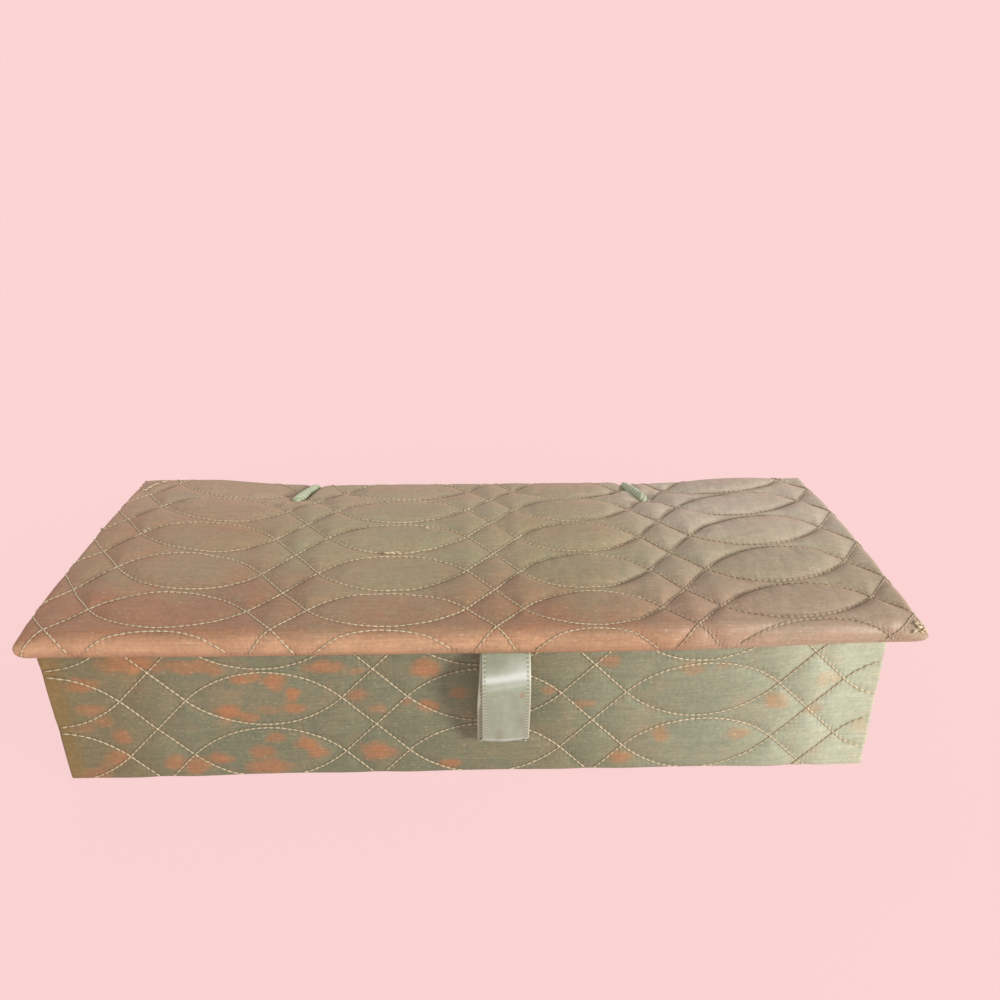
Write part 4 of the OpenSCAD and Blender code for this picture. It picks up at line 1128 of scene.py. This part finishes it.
class Tree:
    """Adds nodes to a material or a group, one call each, and joins them."""

    def __init__(self, tree):
        self.tree = tree

    def node(self, kind, inputs=None, **settings):
        made = self.tree.nodes.new(kind)
        for key, value in settings.items():
            setattr(made, key, value)
        for key, value in (inputs or {}).items():
            if isinstance(value, bpy.types.NodeSocket):
                self.tree.links.new(value, made.inputs[key])
            else:
                made.inputs[key].default_value = value
        return made

    def math(self, operation, a, b=0.0, c=0.0, clamp=False):
        return self.node("ShaderNodeMath", {0: a, 1: b, 2: c}, operation=operation,
                         use_clamp=clamp).outputs[0]

    def mix(self, factor, a, b, blend="MIX"):
        return self.node("ShaderNodeMix", {0: factor, 6: a, 7: b}, data_type="RGBA",
                         blend_type=blend).outputs[2]

    def noise(self, vector, scale, detail=3.0, roughness=0.5):
        return self.node("ShaderNodeTexNoise", {"Vector": vector, "Scale": scale, "Detail": detail,
                                                "Roughness": roughness}).outputs[0]

    def stretch(self, vector, scale):
        return self.node("ShaderNodeMapping", {"Vector": vector, "Scale": scale}).outputs[0]

    def span(self, value, low, high, to_low=0.0, to_high=1.0):
        return self.node("ShaderNodeMapRange", {0: value, 1: low, 2: high, 3: to_low,
                                                4: to_high}).outputs[0]

    def part(self, value, amount):
        return self.math("MULTIPLY", value, amount)

    def mark(self, name):
        return self.node("ShaderNodeAttribute", attribute_name=name).outputs["Fac"]

    def place(self):
        return self.node("ShaderNodeTexCoord").outputs["Object"]

    def cloth(self):
        return self.node("ShaderNodeUVMap", uv_map="cloth").outputs[0]

    def join(self, output, socket):
        self.tree.links.new(output, socket)


def new_group(name, inputs, outputs):
    """A shader group with named sockets: its tree, and its input and output nodes."""
    group = bpy.data.node_groups.new(name, "ShaderNodeTree")
    for label, kind in inputs:
        group.interface.new_socket(label, in_out="INPUT", socket_type="NodeSocket" + kind)
    for label, kind in outputs:
        group.interface.new_socket(label, in_out="OUTPUT", socket_type="NodeSocket" + kind)
    tree = Tree(group)
    return group, tree, tree.node("NodeGroupInput"), tree.node("NodeGroupOutput")


def make_weave():
    """Woven threads: fine warp and weft, slubs along the cloth, and a tone that follows them."""
    group, t, given, out = new_group("weave", [("Cloth", "Vector"), ("Threads", "Float"),
                                               ("Slubs", "Float")],
                                     [("Height", "Float"), ("Tone", "Float")])
    place = t.node("ShaderNodeSeparateXYZ", {0: given.outputs["Cloth"]})
    turns = t.part(given.outputs["Threads"], 2 * pi)
    waves = [t.math("SINE", t.part(place.outputs[k], turns)) for k in (0, 1)]
    grid = t.part(t.part(waves[0], waves[1]), 0.5)
    along = t.noise(t.stretch(given.outputs["Cloth"], (55, 1500, 1)), 1.0, 3.0, 0.6)
    slub = t.span(t.noise(t.stretch(given.outputs["Cloth"], (28, 620, 1)), 1.0, 2.0), 0.56, 0.74)
    slub = t.part(slub, given.outputs["Slubs"])
    streak = t.math("SUBTRACT", along, 0.5)
    height = t.math("ADD", t.math("MULTIPLY_ADD", grid, 0.35, streak), slub)
    tone = t.math("ADD", t.part(streak, 1.6), t.part(slub, 0.5))
    t.join(height, out.inputs["Height"])
    t.join(tone, out.inputs["Tone"])
    return group


def make_mottle():
    """Slow uneven tone, as cloth or board has where light and hands have worn it."""
    group, t, given, out = new_group("mottle", [("Place", "Vector"), ("Size", "Float")],
                                     [("Tone", "Float")])
    broad = t.noise(given.outputs["Place"], given.outputs["Size"], 4.0, 0.6)
    t.join(t.span(broad, 0.25, 0.75, -1.0, 1.0), out.inputs["Tone"])
    return group


WEAVE, MOTTLE = make_weave(), make_mottle()


def woven(t, cloth, threads, slubs):
    """The weave's height and tone, with its threads to the metre and its share of slubs."""
    weave = t.node("ShaderNodeGroup", {"Cloth": cloth, "Threads": threads, "Slubs": slubs},
                   node_tree=WEAVE)
    return weave.outputs["Height"], weave.outputs["Tone"]


def mottled(t, place, size):
    """The mottle's tone; a larger size is a finer one."""
    return t.node("ShaderNodeGroup", {"Place": place, "Size": size}, node_tree=MOTTLE).outputs[0]


def new_material(name, roughness, sheen=0.0, sheen_tint=(1, 1, 1, 1), specular=0.5):
    """A material with its constants on the shader's own sockets."""
    material = bpy.data.materials.new(name)
    material.use_nodes = True
    tree = Tree(material.node_tree)
    shader = material.node_tree.nodes["Principled BSDF"]
    shader.inputs["Roughness"].default_value = roughness
    shader.inputs["Sheen Weight"].default_value = sheen
    shader.inputs["Sheen Tint"].default_value = sheen_tint
    shader.inputs["Sheen Roughness"].default_value = 0.4
    shader.inputs["Specular IOR Level"].default_value = specular
    return material, tree, shader


def raise_bump(t, shader, height, distance):
    """Turns the shader's normal by a height, whose unit is a distance in metres."""
    normal = t.node("ShaderNodeBump", {"Strength": 1.0, "Distance": distance, "Height": height})
    t.join(normal.outputs[0], shader.inputs["Normal"])


def shade(t, color, tone, amount):
    """A colour made lighter and darker by a tone round 0."""
    value = t.math("MULTIPLY_ADD", tone, amount, 1.0)
    return t.node("ShaderNodeHueSaturation", {"Value": value, "Color": color}).outputs[0]


def make_taffeta(name, sage, rust, pale, brown_and_highlight, stained):
    """Shot taffeta: sage that turns to rust and fades, puckered at its seams, with painted shade
    along them.
    Where it is stained, rust lies on top of the other colours; elsewhere it lies under them."""
    material, t, shader = new_material(name, 0.5, sheen=0.25, sheen_tint=dye(235, 190, 150))
    cloth = t.cloth()
    place = t.place()
    ridges, tone = woven(t, cloth, 900.0, 0.6)
    mottle = mottled(t, place, 38.0)
    fine = mottled(t, place, 210.0)
    loose = t.math("MULTIPLY_ADD", mottle, 0.12 if stained else 0.26, t.mark("rust"))
    frayed = t.math("MULTIPLY_ADD", fine, 0.13, loose, clamp=True)
    # Stains on faded cloth are yellower
    rust = t.mix(t.mark("pale"), rust, dye(220, 164, 108)) if stained else rust
    # The last layer is a painted copper highlight on the lid's padded front edge, and a
    # yellow-brown on the walls' left end
    layers = [(frayed, rust), (t.part(t.mark("pale"), 0.9), pale),
              (t.part(t.mark("brown_and_highlight"), 0.8), brown_and_highlight)]
    color = sage
    for share, tint in reversed(layers) if stained else layers:
        color = t.mix(share, color, tint)
    color = shade(t, color, tone, 0.34)
    # Painted light and shade from its mark, lighter and darker over broad areas
    color = shade(t, color, t.mark("painted_light_and_shade"), 1.0)
    color = shade(t, color, mottle, 0.08)
    color = shade(t, color, fine, 0.06)
    color = shade(t, color, mottled(t, place, 700.0), 0.15)
    flecks = t.span(t.noise(t.stretch(cloth, (500, 1500, 1)), 1.0, 2.0), 0.62, 0.76)
    color = t.mix(t.part(flecks, 0.45), color, dye(226, 216, 190))
    # Painted shade in the seams' grooves, darkest at the stitched line
    seam = t.mark("seam")
    deep = t.math("EXPONENT", t.part(seam, -1.8))
    color = t.mix(t.part(deep, 0.30), color, dye(140, 112, 84), blend="MULTIPLY")
    t.join(color, shader.inputs["Base Color"])
    # A pucker at each stitch, which dies away from the seam
    pucker = t.part(t.math("SINE", t.part(t.mark("run"), 2 * pi)),
                    t.math("EXPONENT", t.part(seam, -0.9)))
    height = t.math("MULTIPLY_ADD", pucker, 0.45, t.part(ridges, 0.34))
    raise_bump(t, shader, height, 0.00022)
    return material


# One rung and gap of the ribbon's border, in metres
LADDER = 0.0016


def make_satin(name, color, darker, threads=1300.0, slubs=0.1, edge=None):
    """Smooth satin with a soft sheen. An edge colour makes it a ribbon, with a woven border, a
    painted highlight beside a pale hem, painted shade with darker streaks, and a stain."""
    material, t, shader = new_material(name, 0.36, sheen=0.3, sheen_tint=(1, 1, 0.95, 1))
    cloth = t.cloth()
    place = t.place()
    ridges, tone = woven(t, cloth, threads, slubs)
    drift = t.span(mottled(t, place, 30.0), -1.0, 1.0)
    made = shade(t, t.mix(drift, color, darker), tone, 0.12)
    if edge:
        crushed = t.noise(t.stretch(cloth, (420, 260, 1)), 1.0, 4.0, 0.65)
        made = shade(t, made, t.span(crushed, 0.3, 0.7, -1.0, 1.0), 0.09)
        # Painted shade with streaks, a painted highlight with the pale hem, and a stain, each from
        # its mark
        for mark, amount, tint in (("painted_shade_and_streaks", 0.6, dye(128, 124, 96)),
                                   ("painted_highlight_and_hem", 0.8, dye(236, 242, 236)),
                                   ("stain", 0.7, dye(178, 120, 84))):
            made = t.mix(t.part(t.mark(mark), amount), made, tint)
        # The border: a pale outer edge, then a ladder of pale rungs and dark gaps
        along = t.node("ShaderNodeSeparateXYZ", {0: cloth}).outputs[1]
        ladder = t.span(t.math("SINE", t.part(along, 2 * pi / LADDER)), -0.3, 0.3)
        from_ladder = t.math("ABSOLUTE", t.math("SUBTRACT", t.mark("seam"), 1.1))
        inner = t.span(from_ladder, 0.25, 0.5, 1.0, 0.0)
        outer = t.span(t.mark("seam"), 0.35, 0.6, 1.0, 0.0)
        made = t.mix(t.part(t.part(inner, ladder), 0.55), made, dye(124, 122, 92))
        rungs = t.math("MULTIPLY", inner, t.math("SUBTRACT", 0.8, ladder), clamp=True)
        made = t.mix(t.part(t.math("MAXIMUM", outer, rungs), 0.8), made, edge)
    t.join(made, shader.inputs["Base Color"])
    raise_bump(t, shader, ridges, 0.00008)
    return material


def make_thread(name, color, darker, shaded_and_soiled=None):
    """Cotton or rayon thread with fine strands, darkened where its mark says, partly as soil and
    partly as painted shade.
    """
    material, t, shader = new_material(name, 0.55, sheen=0.3)
    place = t.place()
    strands = t.noise(place, 1900.0, 3.0)
    tone = mottled(t, place, 45.0)
    made = shade(t, t.mix(strands, color, darker), tone, 0.1)
    # Soil and painted shade on the thread, from its mark
    if shaded_and_soiled:
        made = t.mix(t.part(t.mark("soil_and_shade"), 0.8), made, shaded_and_soiled)
    t.join(made, shader.inputs["Base Color"])
    raise_bump(t, shader, strands, 0.00006)
    return material


def make_cord_material():
    """Pale green twisted cord: fine strands that follow the twist, with painted shade between them.
    """
    material, t, shader = new_material("twisted_cord", 0.42, sheen=0.35)
    cloth = t.cloth()
    strands = t.noise(t.stretch(cloth, (120, 2400, 1)), 1.0, 3.0, 0.6)
    place = t.place()
    tone = mottled(t, place, 120.0)
    color = t.mix(strands, dye(224, 232, 202), dye(176, 188, 156))
    # Painted shade in the grooves between the strands
    painted_groove_shade = t.span(t.mark("seam"), 0.45, 1.0)
    color = t.mix(t.part(painted_groove_shade, 0.75), shade(t, color, tone, 0.08), dye(116, 122, 92))
    t.join(color, shader.inputs["Base Color"])
    raise_bump(t, shader, strands, 0.00012)
    return material


def make_board(name, color, darker, grain=260.0, rough=0.85, depth=0.00012):
    """Pulp board or paper: flecks, soft mottling and a faint tooth."""
    material, t, shader = new_material(name, rough, specular=0.25)
    place = t.place()
    flecks = t.noise(t.stretch(place, (1.0, 1.0, 2.2)), grain, 4.0, 0.7)
    tone = mottled(t, place, 25.0)
    color = t.mix(t.span(flecks, 0.35, 0.68), color, darker)
    t.join(shade(t, color, tone, 0.06), shader.inputs["Base Color"])
    raise_bump(t, shader, flecks, depth)
    return material


# The lid's last colour is the copper of its painted highlight
LID_TAFFETA = make_taffeta("lid_taffeta", dye(171, 164, 130), dye(171, 125, 93),
                           dye(202, 189, 170), dye(226, 178, 140), stained=False)
WALL_TAFFETA = make_taffeta("wall_taffeta", dye(130, 133, 107), dye(186, 129, 88),
                            dye(195, 202, 177), dye(148, 120, 66), stained=True)
SATIN = make_satin("lining_satin", dye(190, 190, 168), dye(172, 173, 150))
RIBBON = make_satin("ribbon_satin", dye(178, 187, 164), dye(164, 172, 150), threads=1600.0,
                    slubs=0.05, edge=dye(208, 208, 184))
STITCH_THREAD = make_thread("stitch_thread", dye(232, 218, 186), dye(206, 188, 152),
                            shaded_and_soiled=dye(128, 102, 76))
CORD = make_cord_material()
WADDING = make_thread("cotton_wadding", dye(238, 232, 218), dye(222, 214, 196))
PULP_BOARD = make_board("pulp_board", dye(176, 160, 132), dye(150, 134, 106))
STAY_PAPER = make_board("stay_paper", dye(212, 202, 178), dye(196, 184, 158), 420.0, 0.8, 0.00006)
BASE_PAPER = make_board("base_paper", dye(168, 164, 144), dye(150, 146, 126), 380.0, 0.7, 0.00008)


def dress(piece, material, body, slot, *replaced):
    """Gives a piece its material and its body, and hides the nodes it stands for. Its slot is not
    used.
    """
    piece.data.materials.clear()
    piece.data.materials.append(material)
    if body:
        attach(piece, body)
    if replaced:
        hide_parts(*replaced)


dress(lid_cover, LID_TAFFETA, "lid", "quilted_taffeta", "lid_quilt")
dress(wall_cover, WALL_TAFFETA, "box", "quilted_taffeta", "body_quilt")
dress(lid_stitches, STITCH_THREAD, "lid", "quilted_taffeta")
dress(wall_stitches, STITCH_THREAD, "box", "quilted_taffeta")
dress(loose_threads, STITCH_THREAD, "lid", "quilted_taffeta")
for name, cord in cords.items():
    dress(cord, CORD, None, "twisted_cord", name + "_loop")
    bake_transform(cord)
dress(ribbon_tab, RIBBON, None, "satin_ribbon", "pull_tab", "ribbon_tail")
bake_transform(ribbon_tab)
for node, panel in linings.items():
    body = "lid" if node.startswith("lid") else "box"
    wool = node == "lid_wadding"
    dress(panel, WADDING if wool else SATIN, body, "wadding" if wool else "satin_lining", node)

for node in ("base_board", "front_board", "back_board", "left_board", "right_board", "lid_board",
             "lid_lining_card", "corner_stays", "base_cover"):
    material = {"corner_stays": STAY_PAPER, "base_cover": BASE_PAPER}.get(node, PULP_BOARD)
    nodes[node].data.materials.clear()
    nodes[node].data.materials.append(material)


# ---- The stage

PINK = dye(252, 212, 212)
# From the box outwards, the floor passes from taking its shadow to plain backdrop
SHADOW_NEAR, SHADOW_FAR, GLOW_NEAR = 0.16, 0.36, 0.93
WORLD_LIGHT = 0.33
LAMPS_AIM = (0, 0, 0.04)


def seen_rays(t):
    """1 for the rays that show the backdrop: straight, mirrored and through glass."""
    light = t.node("ShaderNodeLightPath")
    direct = t.math("MAXIMUM", light.outputs["Is Camera Ray"], light.outputs["Is Glossy Ray"])
    return t.math("MAXIMUM", direct, light.outputs["Is Transmission Ray"])


def make_stage():
    """A pale pink floor that runs into a backdrop of its own colour."""
    bm = bmesh.new()
    bmesh.ops.create_grid(bm, x_segments=1, y_segments=1, size=6)
    floor = finish_mesh(bm, "floor", smooth=False)
    material = bpy.data.materials.new("pale_floor")
    material.use_nodes = True
    t = Tree(material.node_tree)
    shader = material.node_tree.nodes["Principled BSDF"]
    shader.inputs["Base Color"].default_value = dye(246, 226, 222)
    shader.inputs["Roughness"].default_value = 0.9
    shader.inputs["Specular IOR Level"].default_value = 0.1
    glow = t.node("ShaderNodeEmission", {"Color": PINK, "Strength": 1.0}).outputs[0]
    place = t.place()
    away = t.node("ShaderNodeVectorMath", {0: place}, operation="LENGTH").outputs["Value"]
    far = t.span(away, SHADOW_NEAR, SHADOW_FAR, GLOW_NEAR, 1.0)
    seen = t.part(far, seen_rays(t))
    mixed = t.node("ShaderNodeMixShader", {0: seen, 1: shader.outputs[0], 2: glow})
    output = material.node_tree.nodes["Material Output"]
    t.join(mixed.outputs[0], output.inputs["Surface"])
    floor.data.materials.append(material)


def make_world():
    """Soft white light from all round, behind a backdrop in the floor's colour."""
    world = bpy.data.worlds.new("studio")
    bpy.context.scene.world = world
    world.use_nodes = True
    t = Tree(world.node_tree)
    lit = world.node_tree.nodes["Background"]
    lit.inputs["Color"].default_value = (1, 0.985, 0.97, 1)
    lit.inputs["Strength"].default_value = WORLD_LIGHT
    shown = t.node("ShaderNodeBackground", {"Color": PINK, "Strength": 1.0})
    mixed = t.node("ShaderNodeMixShader", {0: seen_rays(t), 1: lit.outputs[0], 2: shown.outputs[0]})
    output = world.node_tree.nodes["World Output"]
    t.join(mixed.outputs[0], output.inputs["Surface"])


def add_lamp(name, place, size, power, color=(1, 1, 1)):
    """A soft square lamp that faces the box: its place and size in metres, its power in watts."""
    data = bpy.data.lights.new(name, "AREA")
    data.size, data.energy, data.color = size, power, color
    lamp = bpy.data.objects.new(name, data)
    bpy.context.scene.collection.objects.link(lamp)
    aim = (Vector(LAMPS_AIM) - Vector(place)).to_track_quat("-Z", "Y")
    lamp.matrix_world = Matrix.Translation(place) @ aim.to_matrix().to_4x4()


make_stage()
make_world()
add_lamp("key", (0.98, -0.74, 0.42), 0.24, 12.0, (1, 0.99, 0.96))
add_lamp("fill", (-0.7, -1.1, 0.9), 1.2, 3.0)
add_lamp("back", (-0.5, 0.7, 1.2), 0.9, 2.7)

scene = bpy.context.scene
scene.view_settings.view_transform = "Standard"
